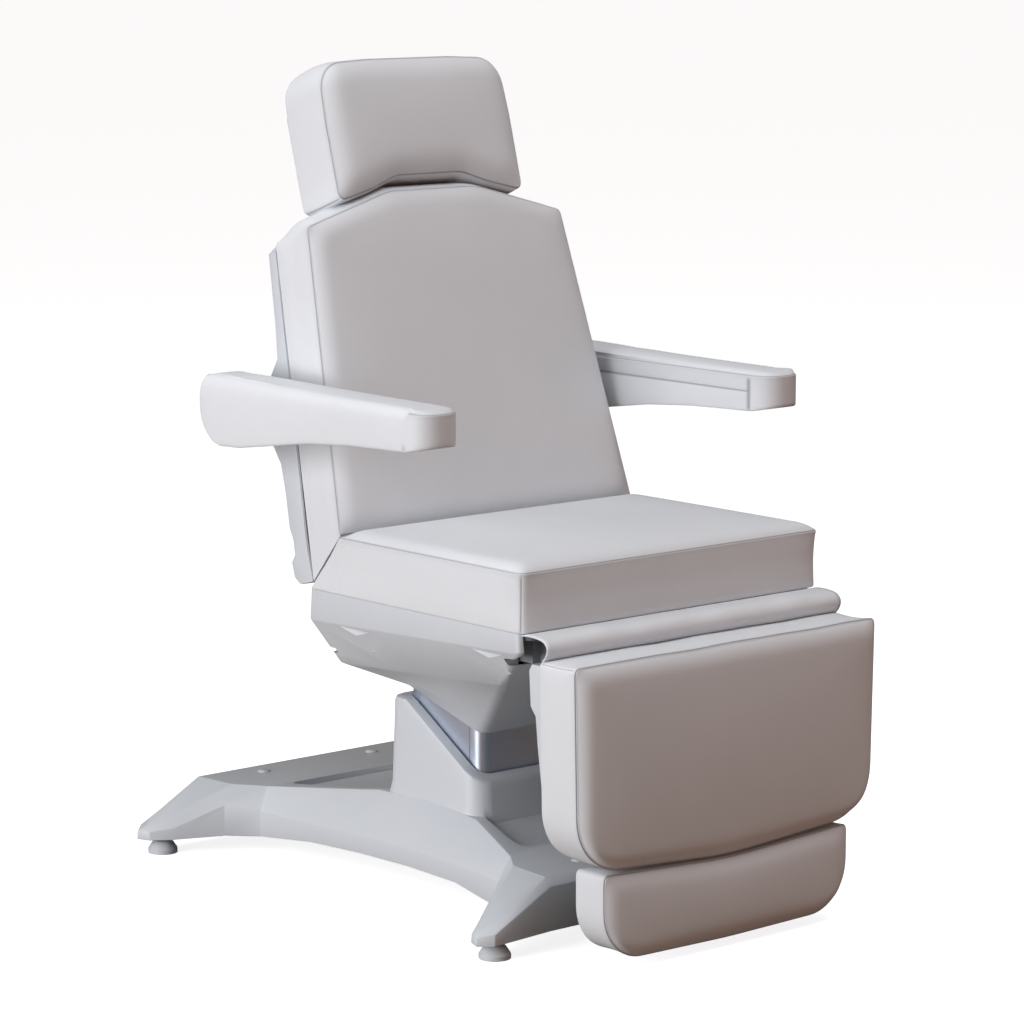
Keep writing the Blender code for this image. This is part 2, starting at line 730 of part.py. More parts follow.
SEAT_RAIL = (0.224, 0.254)
SEAT_CROSS_SPANS = ((-0.343, -0.313), (-0.245, -0.200), (-0.090, -0.040), (0.030, 0.075))
SEAT_FRAME_SKIN = 0.003
LUG_X = (0.229, 0.241)
BACK_SHAFT_RADIUS = 0.012
LEG_SHAFT_RADIUS = 0.008


def seat_frame_blocks(skin):
    """Rails and cross members of the seat frame, shrunk by a skin."""
    z_span = (FRAME_LOW - (0.01 if skin else 0.0), FRAME_HIGH - skin)
    blocks = []
    for sign in (-1, 1):
        edges = sorted(sign * x for x in SEAT_RAIL)
        blocks.append(box((edges[0] + skin, edges[1] - skin), (-0.364 + skin, 0.099 - skin), z_span))
    for y0, y1 in SEAT_CROSS_SPANS:
        blocks.append(box((-SEAT_RAIL[0] - 0.01, SEAT_RAIL[0] + 0.01), (y0 + skin, y1 - skin), z_span))
    return blocks


def lug_outline(hinge, radius, root_y):
    """Side view of a hinge lug: a round eye with a root that runs into the rail."""
    y, z = hinge
    toward = 1 if root_y > y else -1
    points = []
    for k in range(9):
        turn = math.radians(-90 + 180 * k / 8)
        points.append((y - toward * radius * math.cos(turn), z + radius * math.sin(turn)))
    points.append((root_y, FRAME_HIGH - 0.001))
    points.append((root_y, FRAME_LOW + 0.001))
    return points


def build_seat_frame():
    """Folded channel frame with the lugs of both hinges."""
    frame = cut(joined(*seat_frame_blocks(0.0)), joined(*seat_frame_blocks(SEAT_FRAME_SKIN)))
    for sign in (-1, 1):
        x0, x1 = sorted(sign * x for x in LUG_X)
        joined(frame, across(lug_outline(BACK_HINGE, 0.0165, 0.0975), x0, x1))
        joined(frame, across(lug_outline(LEG_HINGE, 0.0125, -0.3625), x0, x1))
        cut(frame, across(circle(BACK_SHAFT_RADIUS + GAP, BACK_HINGE), x0 - 0.005, x1 + 0.005))
        cut(frame, across(circle(LEG_SHAFT_RADIUS + GAP, LEG_HINGE), x0 - 0.005, x1 + 0.005))
    place(frame, "seat_frame", "steel", "seat")
    shaft = across(circle(BACK_SHAFT_RADIUS, BACK_HINGE), -0.247, 0.247)
    place(shaft, "back_hinge_shaft", "steel", "seat")
    shaft = across(circle(LEG_SHAFT_RADIUS, LEG_HINGE), -0.247, 0.247)
    place(shaft, "legrest_hinge_shaft", "steel", "seat")


def build_seat_top():
    """Plywood board and the crowned seat pad with its mitred rear."""
    top = SEAT_BOTTOM - GAP
    plan = rounded_rectangle(0.284, -0.3855, 0.098, 0.015)
    place(upright(plan, top - SEAT_BOARD_THICK, top), "seat_board", "plywood", "seat")
    corners = [(SEAT_HALF, SEAT_FRONT, 0.006), (SEAT_HALF, SEAT_REAR_TOP, 0.004),
               (-SEAT_HALF, SEAT_REAR_TOP, 0.004), (-SEAT_HALF, SEAT_FRONT, 0.006)]
    outline = rounded_outline(corners, 3, 0.10)
    length = SEAT_REAR_TOP - SEAT_FRONT

    def to_world(u, v, depth):
        longer = (SEAT_REAR_BOTTOM - SEAT_REAR_TOP) * max(depth, 0.0) / SEAT_THICK
        return (u, SEAT_FRONT + (v - SEAT_FRONT) * (length + longer) / length, SEAT_TOP - depth)

    pad = cushion(outline, (0.0, SEAT_FRONT + length / 2), SEAT_THICK, SEAT_CROWN, to_world, 0.003)
    place(pad, "seat_pad", "upholstery", "seat", 50)


# Linear actuators: their rods slide along Y and drive slotted levers.
ROD_RADIUS = 0.007
HOUSING_RADIUS = 0.0145
EYE_HALF = 0.006
PIN_RADIUS = 0.005
PIN_PLAY = 0.0022
LEVER_PLATES = ((0.0080, 0.0130), (-0.0130, -0.0080))


def pin_at_rest(hinge, lever, swing):
    """Where a lever's pin is at rest: half its swing behind straight down."""
    y, z = hinge
    return (y + lever * math.sin(swing / 2), z - lever * math.cos(swing / 2))


def rod_height(hinge, lever, swing):
    """Middle height of the pin's arc."""
    return hinge[1] - lever * (1 + math.cos(swing / 2)) / 2


def actuator_rod(x, pin_y, height, lever, swing, inner_y):
    """A rod with an upright slotted eye for the lever's pin."""
    rise = lever * (1 - math.cos(swing / 2)) / 2
    half_height = rise + PIN_RADIUS + 0.009
    half_depth = PIN_RADIUS + PIN_PLAY + 0.006
    eye_box = box((x - EYE_HALF, x + EYE_HALF), (pin_y - half_depth, pin_y + half_depth),
                  (height - half_height, height + half_height))
    slot_half = PIN_RADIUS + PIN_PLAY
    slot_high = rise + PIN_RADIUS + 0.002
    cut(eye_box, box((x - 0.02, x + 0.02), (pin_y - slot_half, pin_y + slot_half),
                     (height - slot_high, height + slot_high)))
    near = pin_y + (half_depth - 0.001) * (1 if inner_y > pin_y else -1)
    rod = along(circle(ROD_RADIUS, (x, height), 16), *sorted((inner_y, near)))
    return joined(eye_box, rod)


def actuator_body(x, height, mouth_y, rear_y, bore_end, motor_x):
    """Gearbox under a cross member, guide tube towards the rod and a motor beside it."""
    tube = along(circle(HOUSING_RADIUS, (x, height), 16), *sorted((mouth_y, rear_y)))
    inward = 1 if mouth_y > rear_y else -1
    gear_x = (min(x, motor_x) - 0.022, max(x, motor_x) + 0.022)
    gear_y = sorted((rear_y, rear_y + inward * 0.040))
    gear = rounded(box(gear_x, gear_y, (height - 0.019, FRAME_LOW - GAP)), 0.004, 1)
    radius = min(0.0185, FRAME_LOW - GAP - height)
    motor_span = sorted((rear_y + inward * 0.035, rear_y + inward * 0.115))
    motor = along(circle(radius, (motor_x, height), 16), *motor_span)
    joined(gear, motor, tube)
    bore = along(circle(ROD_RADIUS + GAP, (x, height), 16), *sorted((bore_end, mouth_y + inward * 0.01)))
    return cut(gear, bore)


def build_actuators():
    """Back and legrest actuators and the control box between them."""
    height = rod_height(BACK_HINGE, BACK_LEVER, BACK_SWING)
    pin_y = pin_at_rest(BACK_HINGE, BACK_LEVER, BACK_SWING)[0]
    body = actuator_body(ACTUATOR_X, height, 0.050, -0.243, -0.165, 0.132)
    place(body, "back_actuator_body", "polymer", "seat")
    rod = actuator_rod(ACTUATOR_X, pin_y, height, BACK_LEVER, BACK_SWING, -0.060)
    place(rod, "back_actuator_rod", "steel", "back_actuator_rod")
    height = rod_height(LEG_HINGE, LEG_LEVER, LEG_SWING)
    pin_y = pin_at_rest(LEG_HINGE, LEG_LEVER, LEG_SWING)[0]
    body = actuator_body(-ACTUATOR_X, height, -0.300, 0.073, -0.090, -0.2105)
    place(body, "legrest_actuator_body", "polymer", "seat")
    rod = actuator_rod(-ACTUATOR_X, pin_y, height, LEG_LEVER, LEG_SWING, -0.105)
    place(rod, "legrest_actuator_rod", "steel", "legrest_actuator_rod")
    control = box((-0.085, 0.085), (-0.262, -0.125), (0.401, FRAME_LOW - GAP))
    place(rounded(control, 0.004, 1), "control_box", "polymer", "seat")


def lever_plates(x, hinge, lever, swing):
    """Two plates from the hinge to the pin, and the pin between them."""
    pin = pin_at_rest(hinge, lever, swing)
    root = Vector(hinge)
    run = (Vector(pin) - root).normalized()
    side = Vector((-run.y, run.x)) * 0.0095
    outline = [root + side, root - side, Vector(pin) - side, Vector(pin) + run * 0.0095, Vector(pin) + side]
    outline = [(p.x, p.y) for p in outline]
    plates = [across(outline, x + a, x + b) for a, b in (sorted(pair) for pair in LEVER_PLATES)]
    pin_bar = across(circle(PIN_RADIUS, pin, 16), x - 0.0145, x + 0.0145)
    return plates + [pin_bar]


# Back: frame, board, pad and shell, drawn upright and then leant back.
UPRIGHT_X = 0.165
UPRIGHT_HALF = 0.022
STRAP_THICK = 0.006
SLEEVE_OUTER = 0.0165
SLEEVE_HALF = 0.222
CROSS_TUBE_RADIUS = 0.025
CROSS_TUBE_BORE = 0.0215
CROSS_TUBE_HALF = 0.2685
STRAP_DEPTH = BACK_THICK + GAP + BOARD_THICK + GAP
SOCKET_HALF = 0.031
SOCKET_SPAN = (0.330, 0.474)
BAR_HALF_WIDTH = 0.025
BAR_THICK = 0.005


def back_half_width(height):
    """Half width of the back cushion at a height along it."""
    share = min(max(height / BACK_SHOULDER, 0.0), 1.0)
    return BACK_HALF_FOOT + (BACK_HALF_SHOULDER - BACK_HALF_FOOT) * share


def back_outline(steps, longest):
    """Front view of the back: tapered sides, sloping shoulders and a short flat top."""
    half = [(BACK_HALF_FOOT, 0.0, 0.004), (BACK_HALF_SHOULDER, BACK_SHOULDER, 0.010),
            (BACK_TOP_HALF, BACK_TOP, 0.10)]
    return rounded_outline(mirrored_corners(half), steps, longest)


def build_back_pad():
    """Back pad, mitred at its foot to meet the seat."""
    span = BACK_TOP

    def to_world(u, v, depth):
        longer = BACK_MITRE * max(depth, 0.0) / BACK_THICK
        height = BACK_TOP - (BACK_TOP - v) * (span + longer) / span
        return (u, depth, height)

    pad = cushion(back_outline(3, 0.10), (0.0, 0.25), BACK_THICK, BACK_CROWN, to_world, 0.004)
    place(tilted(pad), "back_pad", "upholstery", "backrest", 50)
    half = [(0.272, -0.045, 0.01), (0.244, 0.440, 0.012), (0.200, 0.470, 0.03)]
    plan = rounded_outline(mirrored_corners(half), 2)
    rear = BACK_THICK + GAP
    board = loft([[(u, depth, v) for u, v in plan] for depth in (rear, rear + BOARD_THICK)])
    place(tilted(board), "back_board", "plywood", "backrest")


SHELL_TOP = 0.483
SHELL_TOP_HALF = 0.214

# Depth of the rear shell behind the cushion at heights along the back.
SHELL_STATIONS = [
    (-0.058, 0.038), (-0.046, 0.050), (-0.022, 0.051), (-0.012, 0.040), (0.012, 0.039), (0.030, 0.045),
    (0.085, 0.046), (0.130, 0.050), (0.165, 0.067), (0.245, 0.068), (0.268, 0.052), (0.290, 0.031),
    (0.340, 0.027), (0.452, 0.025), (SHELL_TOP, 0.022),
]
SPINE_HALF = 0.048
SPINE_DEPTH = 0.040
SPINE_START = 0.290


def shell_section(half, depth, spine, front, height):
    """One level of a rear shell: a tray's section with a raised middle."""
    radius = min(0.010, depth * 0.5)
    rear = front + depth
    middle = front + max(depth, spine)
    run = 0.014
    right = [
        (half, front), (half, rear - radius), (half - radius * 0.3, rear - radius * 0.3),
        (half - radius, rear), (SPINE_HALF + run, rear), (SPINE_HALF, middle),
    ]
    left = [(-u, d) for u, d in reversed(right)]
    return [(u, d, height) for u, d in right + left]


def back_shell_shape(wall):
    """Outside of the rear shell, or with a wall its hollow, open to the front."""
    rings = []
    for height, depth in SHELL_STATIONS:
        half = SHELL_TOP_HALF if height == SHELL_TOP else back_half_width(height) - 0.0025
        spine = SPINE_DEPTH if height > SPINE_START else 0.0
        level = height
        if wall:
            level = min(max(height, SHELL_STATIONS[0][0] + wall), SHELL_STATIONS[-1][0] - wall)
        front = BACK_THICK + GAP - (0.01 if wall else 0.0)
        extra = 0.01 if wall else 0.0
        rings.append(shell_section(half - wall, depth - wall + extra, spine - wall + extra, front, level))
    return loft(rings)


def build_back_shell():
    """Moulded rear shell with the cross bulge over the armrest tube."""
    shell = cut(back_shell_shape(0.0), back_shell_shape(SHELL_WALL))
    for sign in (-1, 1):
        hole = circle(CROSS_TUBE_RADIUS + 0.0015, (HUB_DEPTH, HUB_HEIGHT))
        cut(shell, across(hole, *sorted((sign * 0.24, sign * 0.32))))
    front = BACK_THICK - 0.01
    cut(shell, box((-0.228, 0.228), (front, 0.123), (-0.10, -0.02)))
    bar_half = BAR_HALF_WIDTH + 0.0015
    cut(shell, box((-bar_half, bar_half), (HEAD_BAR_DEPTH - 0.004, HEAD_BAR_DEPTH + 0.004), (0.47, 0.52)))
    place(tilted(shell), "back_shell", "moulding", "backrest", 30)


def build_back_frame():
    """Two straps on the hinge sleeve, the armrest cross tube and the lever."""
    frame = across(circle(CROSS_TUBE_RADIUS, (HUB_DEPTH, HUB_HEIGHT)), -CROSS_TUBE_HALF, CROSS_TUBE_HALF)
    for sign in (-1, 1):
        x0, x1 = sorted((sign * (UPRIGHT_X - UPRIGHT_HALF), sign * (UPRIGHT_X + UPRIGHT_HALF)))
        joined(frame, box((x0, x1), (STRAP_DEPTH, STRAP_DEPTH + STRAP_THICK), (-0.088, 0.330)))
    cut(frame, across(circle(CROSS_TUBE_BORE, (HUB_DEPTH, HUB_HEIGHT)), -0.3, 0.3))
    tilted(frame)
    sleeve = across(circle(SLEEVE_OUTER, BACK_HINGE), -SLEEVE_HALF, SLEEVE_HALF)
    joined(frame, sleeve)
    cut(frame, across(circle(BACK_SHAFT_RADIUS + GAP, BACK_HINGE), -0.3, 0.3))
    lever = joined(*lever_plates(ACTUATOR_X, BACK_HINGE, BACK_LEVER, BACK_SWING))
    cut(lever, across(circle(BACK_SHAFT_RADIUS + 0.002, BACK_HINGE), -0.3, 0.3))
    joined(frame, lever)
    place(frame, "back_frame", "steel", "backrest")
    for hand, sign in (("left", 1), ("right", -1)):
        ends = sorted((sign * 0.236, sign * (CROSS_TUBE_HALF - 0.001)))
        bush = across(circle(CROSS_TUBE_BORE - GAP, (HUB_DEPTH, HUB_HEIGHT)), *ends)
        cut(bush, across(circle(HUB_SHAFT_RADIUS + GAP, (HUB_DEPTH, HUB_HEIGHT)), -0.4, 0.4))
        place(tilted(bush), f"armrest_bush_{hand}", "polymer", "backrest")
    socket_front = BACK_THICK + GAP + BOARD_THICK + GAP
    socket_rear = HEAD_BAR_DEPTH + BAR_THICK / 2 + 0.0035
    socket = box((-SOCKET_HALF, SOCKET_HALF), (socket_front, socket_rear), SOCKET_SPAN)
    slot_y = (HEAD_BAR_DEPTH - BAR_THICK / 2 - GAP, HEAD_BAR_DEPTH + BAR_THICK / 2 + GAP)
    slot_x = BAR_HALF_WIDTH + GAP
    cut(socket, box((-slot_x, slot_x), slot_y, (0.3, 0.6)))
    place(tilted(socket), "headrest_socket", "polymer", "backrest")


# Headrest.
KNUCKLE_RADIUS = 0.0075
HEAD_PIN_RADIUS = 0.0035
HEAD_NOTCH_HALF = 0.052


def head_outline(steps, longest):
    """Front view of the headrest: an arched foot and round upper corners."""
    half = [(HEAD_ARCH_HALF, HEAD_ARCH, 0.05), (0.115, HEAD_CORNER_FOOT + 0.0145, 0.05),
            (HEAD_HALF - 0.001, HEAD_CORNER_FOOT - 0.003, 0.012), (HEAD_HALF, HEAD_CORNER_FOOT + 0.12, 0.2),
            (HEAD_HALF - 0.005, HEAD_TOP - 0.005, 0.048), (0.08, HEAD_TOP, 0.3)]
    return rounded_outline(mirrored_corners(half), steps, longest)


def build_headrest():
    """Sliding bar with a hinge, and the padded headrest on it."""
    bar = box((-BAR_HALF_WIDTH, BAR_HALF_WIDTH),
              (HEAD_BAR_DEPTH - BAR_THICK / 2, HEAD_BAR_DEPTH + BAR_THICK / 2), (0.345, HEAD_PIVOT_HEIGHT))
    pivot = (HEAD_BAR_DEPTH, HEAD_PIVOT_HEIGHT)
    joined(bar, across(circle(KNUCKLE_RADIUS, pivot, 20), -BAR_HALF_WIDTH, BAR_HALF_WIDTH))
    cut(bar, across(circle(HEAD_PIN_RADIUS + GAP, pivot, 20), -0.1, 0.1))
    place(tilted(bar), "headrest_bar", "steel", "headrest_slider")
    pin = across(circle(HEAD_PIN_RADIUS, pivot, 20), -0.036, 0.036)
    place(tilted(pin), "headrest_pin", "steel", "headrest_slider")

    def to_world(u, v, depth):
        return (u, depth, v)

    pad = cushion(head_outline(3, 0.07), (0.0, 0.628), HEAD_THICK, HEAD_CROWN, to_world, -0.002)
    place(tilted(pad), "headrest_pad", "upholstery", "headrest", 50)
    plan = rounded_outline([(0.165, 0.555, 0.02), (0.162, 0.705, 0.03), (-0.162, 0.705, 0.03),
                            (-0.165, 0.555, 0.02)], 3)
    front = HEAD_THICK + GAP
    board = loft([[(u, depth, v) for u, v in plan] for depth in (front, front + BOARD_THICK)])
    place(tilted(board), "headrest_board", "plywood", "headrest")
    plate_front = front + BOARD_THICK + GAP
    bracket = box((-0.040, 0.040), (plate_front, plate_front + 0.003), (0.560, 0.640))
    for sign in (-1, 1):
        x0, x1 = sorted((sign * 0.0275, sign * 0.0325))
        foot = HEAD_PIVOT_HEIGHT - 0.005
        near = HEAD_BAR_DEPTH - 0.0065
        far = HEAD_BAR_DEPTH + 0.0065
        lug = [
            (plate_front, 0.635), (plate_front, 0.545), (near, foot), (far, foot), (far, 0.545),
            (HEAD_BAR_DEPTH + 0.004, 0.60),
        ]
        joined(bracket, across(lug, x0, x1))
    cut(bracket, across(circle(HEAD_PIN_RADIUS + GAP, pivot, 20), -0.1, 0.1))
    place(tilted(bracket), "headrest_bracket", "steel", "headrest")
    shell = cut(head_shell_shape(0.0), head_shell_shape(SHELL_WALL))
    cut(shell, box((-HEAD_NOTCH_HALF, HEAD_NOTCH_HALF), (HEAD_THICK - 0.01, 0.16), (0.50, 0.568)))
    place(tilted(shell), "headrest_shell", "moulding", "headrest", 30)


# Levels of the headrest's rear shell: height, half width and depth.
HEAD_SHELL_LEVELS = [
    (0.545, 0.168, 0.016), (0.560, 0.172, 0.022), (0.660, 0.172, 0.024), (0.700, 0.168, 0.018),
    (0.715, 0.150, 0.010),
]


def head_shell_shape(wall):
    """Outside of the headrest's rear shell, or with a wall its hollow."""
    rings = []
    first = HEAD_SHELL_LEVELS[0][0]
    last = HEAD_SHELL_LEVELS[-1][0]
    for height, half, depth in HEAD_SHELL_LEVELS:
        level = min(max(height, first + wall), last - wall) if wall else height
        front = HEAD_THICK + GAP - (0.01 if wall else 0.0)
        extra = 0.01 if wall else 0.0
        spine = 0.034 if 0.55 < height < 0.69 else depth
        rings.append(shell_section(half - wall, depth - wall + extra, spine - wall + extra, front, level))
    return loft(rings)


# Armrests, which swing about their hubs on the back.
HUB_FLANGE_RADIUS = 0.034
HUB_FLANGE_THICK = 0.007


def armrest_rings(sign):
    """Sections of an armrest from its round front end to its rear corner."""
    middle = sign * (ARM_INNER + ARM_WIDTH / 2)
    half = ARM_WIDTH / 2
    under = [
        (ARM_TIP, 0.739), (-0.10, 0.735), (0.0, 0.7285), (0.10, 0.714), (0.17, 0.704), (ARM_REAR, 0.702),
    ]

    def bottom(y):
        for (y0, z0), (y1, z1) in zip(under, under[1:]):
            if y <= y1:
                return z0 + (z1 - z0) * (y - y0) / (y1 - y0)
        return under[-1][1]

    stations = []
    for turn in (14, 35, 60, 90):
        angle = math.radians(turn)
        shrink = 0.003 * (1 - math.sin(angle))
        y = ARM_TIP + half * (1 - math.cos(angle) ** 0.8)
        stations.append((y, half * math.sin(angle) ** 0.8, bottom(y) + shrink, ARM_TOP - 0.002 - shrink))
    for y in (-0.12, -0.02, 0.08, 0.15, 0.2105):
        stations.append((y, half, bottom(y), ARM_TOP))
    centre_y = ARM_REAR - ARM_REAR_RADIUS
    centre_z = under[-1][1] + ARM_REAR_RADIUS
    for turn in (30, 58, 82):
        angle = math.radians(turn)
        y = centre_y + ARM_REAR_RADIUS * math.sin(angle)
        low = centre_z - ARM_REAR_RADIUS * math.cos(angle)
        drop = 0.010 * max(0.0, (turn - 58) / 24) ** 2
        stations.append((y, half - 0.002 * turn / 90, low, ARM_TOP - drop))
    rings = []
    sides = 20
    power = 0.32
    for y, half_x, low, high in stations:
        ring = []
        for i in range(sides):
            turn = 2 * math.pi * (i + 0.5) / sides
            c = math.cos(turn)
            s = math.sin(turn)
            x = middle + half_x * math.copysign(abs(c) ** power, c)
            z = (low + high) / 2 + (high - low) / 2 * math.copysign(abs(s) ** power, s)
            ring.append((x, y, z))
        rings.append(ring)
    return rings


def build_armrests():
    """Padded armrests and the hubs that carry them."""
    hub = tilted_point(0.0, HUB_DEPTH, HUB_HEIGHT)
    for hand, sign in (("left", 1), ("right", -1)):
        body = f"armrest_{hand}"
        BODY_POINTS[body] = (sign * ARM_INNER, hub.y, hub.z)
        place(loft(armrest_rings(sign)), f"armrest_pad_{hand}", "upholstery", body, 50)
        flange_end = ARM_INNER - GAP
        flange = across(circle(HUB_FLANGE_RADIUS, (hub.y, hub.z)),
                        *sorted((sign * (flange_end - HUB_FLANGE_THICK), sign * flange_end)))
        shaft = across(circle(HUB_SHAFT_RADIUS, (hub.y, hub.z)),
                       *sorted((sign * 0.240, sign * (flange_end - 0.002))))
        place(joined(flange, shaft), f"armrest_hub_{hand}", "steel", body)


# Legrest, foot pad and flap.
LEG_REAR = LEG_FRONT + LEG_THICK
LEG_STRAP_Y = LEG_REAR + GAP + BOARD_THICK + GAP
GUIDE_RADIUS = 0.0085
ROD_GUIDE_SPAN = (0.196, 0.405)
FOOT_ROD_RADIUS = 0.006
LEG_SLEEVE_HALF = 0.222
LEG_SLEEVE_OUTER = 0.012

# Levels of the legrest's rear shell: height, half width, depth at the edge, depth in the middle.
LEG_SHELL_LEVELS = [
    (0.156, 0.200, 0.006, 0.012), (0.166, 0.240, 0.007, 0.020), (0.190, 0.268, 0.007, 0.032),
    (0.225, 0.284, 0.008, 0.033), (0.330, 0.292, 0.013, 0.033), (0.372, 0.294, 0.015, 0.033),
    (0.386, 0.294, 0.026, 0.033), (0.438, 0.295, 0.028, 0.033), (0.447, 0.293, 0.024, 0.029),
]
LEG_PANEL_HALF = 0.190


def leg_outline(steps, longest):
    """Front view of the legrest: square top, round lower corners and a bowed foot."""
    half = [(0.0, LEG_LOW, 0.9), (LEG_HALF - 0.006, LEG_LOW + 0.019, 0.086), (LEG_HALF, LEG_TOP, 0.010)]
    return rounded_outline(mirrored_corners(half), steps, longest)


def foot_outline(steps, longest):
    """Front view of the foot pad: its top follows the legrest's foot."""
    half = [
        (0.0, FOOT_LOW, 1.5), (FOOT_HALF, FOOT_LOW + 0.004, 0.076),
        (FOOT_HALF, FOOT_TOP + 0.0125, 0.010), (0.0, FOOT_TOP, 0.9),
    ]
    return rounded_outline(mirrored_corners(half), steps, longest)


def leg_shell_shape(wall):
    """Outside of the legrest's rear shell, or with a wall its hollow."""
    rings = []
    first = LEG_SHELL_LEVELS[0][0]
    last = LEG_SHELL_LEVELS[-1][0]
    front = LEG_REAR + GAP
    run = 0.020
    for height, half, edge, middle in LEG_SHELL_LEVELS:
        level = min(max(height, first + wall), last - wall) if wall else height
        panel = min(LEG_PANEL_HALF, half - 0.045) - wall
        near = front - (0.01 if wall else 0.0)
        edge_y = front + max(edge - wall, 0.002)
        right = [(half - wall, near), (half - wall, edge_y - 0.001), (half - wall - 0.003, edge_y),
                 (panel + run, edge_y), (panel, front + middle - wall)]
        left = [(-x, y) for x, y in reversed(right)]
        rings.append([(x, y, level) for x, y in right + left])
    return loft(rings)


def build_legrest():
    """Legrest pad, board, shell and the frame that carries them on the hinge."""
    def to_world(u, v, depth):
        return (u, LEG_FRONT + depth, v)

    pad = cushion(leg_outline(4, 0.10), (0.0, 0.30), LEG_THICK, LEG_CROWN, to_world, 0.004)
    place(pad, "legrest_pad", "upholstery", "legrest", 50)
    half = [(0.160, 0.205, 0.02), (0.176, 0.378, 0.008), (0.270, 0.392, 0.008), (0.274, 0.434, 0.008)]
    plan = rounded_outline(mirrored_corners(half), 2)
    front = LEG_REAR + GAP
    board = loft([[(u, y, v) for u, v in plan] for y in (front, front + BOARD_THICK)])
    place(board, "legrest_board", "plywood", "legrest")
    shell = cut(leg_shell_shape(0.0), leg_shell_shape(SHELL_WALL))
    cut(shell, box((-0.215, 0.215), (-0.424, -0.38), (0.436, 0.46)))
    for sign in (-1, 1):
        x = sign * FOOT_ROD_X
        cut(shell, box((x - 0.011, x + 0.011), (-0.4225, -0.38), (0.140, 0.212)))
    place(shell, "legrest_shell", "moulding", "legrest", 30)
    frame = box((-0.205, 0.205), (LEG_STRAP_Y, LEG_STRAP_Y + 0.006), (0.385, 0.425))
    for sign in (-1, 1):
        x = sign * FOOT_ROD_X
        joined(frame, along_guide(x))
        x0, x1 = sorted((sign * 0.192, sign * 0.204))
        y, z = LEG_HINGE
        arm = [
            (LEG_STRAP_Y, 0.390), (LEG_STRAP_Y + 0.008, 0.390), (LEG_STRAP_Y + 0.010, 0.440),
            (y + 0.004, z), (y - 0.006, z + 0.009), (LEG_STRAP_Y, 0.448),
        ]
        joined(frame, across(arm, x0, x1))
    joined(frame, across(circle(LEG_SLEEVE_OUTER, LEG_HINGE), -LEG_SLEEVE_HALF, LEG_SLEEVE_HALF))
    joined(frame, *lever_plates(-ACTUATOR_X, LEG_HINGE, LEG_LEVER, LEG_SWING))
    cut(frame, across(circle(LEG_SHAFT_RADIUS + GAP, LEG_HINGE), -0.3, 0.3))
    for sign in (-1, 1):
        bore = circle(FOOT_ROD_RADIUS + GAP, (sign * FOOT_ROD_X, FOOT_ROD_Y), 16)
        cut(frame, upright(bore, 0.1, 0.5))
    place(frame, "legrest_frame", "steel", "legrest")


def along_guide(x):
    """Guide tube of one foot rod."""
    return upright(circle(GUIDE_RADIUS, (x, FOOT_ROD_Y), 16), *ROD_GUIDE_SPAN)


def build_foot_pad():
    """Sliding foot pad with its board and guide rods."""
    def to_world(u, v, depth):
        return (u, FOOT_FRONT + depth, v)

    pad = cushion(foot_outline(4, 0.08), (0.0, 0.083), FOOT_THICK, FOOT_CROWN, to_world, 0.002)
    place(pad, "foot_pad", "upholstery", "foot_extension", 50)
    front = FOOT_FRONT + FOOT_THICK + GAP
    half = [(0.190, FOOT_LOW + 0.016, 0.04), (0.228, 0.115, 0.01)]
    plan = rounded_outline(mirrored_corners(half), 3)
    board = loft([[(u, y, v) for u, v in plan] for y in (front, front + BOARD_THICK)])
    place(board, "foot_board", "plywood", "foot_extension")
    rear = front + BOARD_THICK + GAP
    rods = box((-0.125, 0.125), (rear, rear + 0.006), (0.060, 0.092))
    for sign in (-1, 1):
        x = sign * FOOT_ROD_X
        joined(rods, box((x - 0.009, x + 0.009), (rear, FOOT_ROD_Y + 0.008), (0.062, 0.090)))
        joined(rods, upright(circle(FOOT_ROD_RADIUS, (x, FOOT_ROD_Y), 16), 0.075, 0.385))
    place(rods, "foot_rods", "steel", "foot_extension")


FLAP_HALF = 0.296
FLAP_THICK = 0.0022


def build_flap():
    """Leatherette strip from the seat's front edge, looped forward to the legrest's top."""
    path = [(-0.3862, 0.4830), (-0.3960, 0.4836), (-0.4180, 0.4842), (-0.4330, 0.4822), (-0.4400, 0.4770),
            (-0.4408, 0.4708), (-0.4370, 0.4650), (-0.4310, 0.4606)]
    upper = []
    lower = []
    for i, spot in enumerate(path):
        here = Vector(spot)
        ahead = Vector(path[min(i + 1, len(path) - 1)])
        behind = Vector(path[max(i - 1, 0)])
        run = (ahead - behind).normalized()
        side = Vector((run.y, -run.x)) * (FLAP_THICK / 2)
        upper.append(tuple(here + side))
        lower.append(tuple(here - side))
    place(across(upper + lower[::-1], -FLAP_HALF, FLAP_HALF), "legrest_flap", "upholstery", "seat", 50)


def set_body_points():
    """Points on the joint axes, where each moving body's parent stands."""
    hub = tilted_point(0.0, HEAD_BAR_DEPTH, HEAD_PIVOT_HEIGHT)
    back_pin = pin_at_rest(BACK_HINGE, BACK_LEVER, BACK_SWING)
    leg_pin = pin_at_rest(LEG_HINGE, LEG_LEVER, LEG_SWING)
    BODY_POINTS["base"] = (0.0, 0.0, 0.0)
    BODY_POINTS["column_middle"] = (0.0, 0.0, MIDDLE_SPAN[0])
    BODY_POINTS["seat"] = (0.0, 0.0, OUTER_SPAN[0])
    BODY_POINTS["backrest"] = (0.0, *BACK_HINGE)
    BODY_POINTS["back_actuator_rod"] = (ACTUATOR_X, *back_pin)
    BODY_POINTS["legrest"] = (0.0, *LEG_HINGE)
    BODY_POINTS["legrest_actuator_rod"] = (-ACTUATOR_X, *leg_pin)
    BODY_POINTS["foot_extension"] = (0.0, FOOT_ROD_Y, FOOT_LOW)
    BODY_POINTS["headrest_slider"] = (0.0, hub.y, hub.z)
    BODY_POINTS["headrest"] = (0.0, hub.y, hub.z)


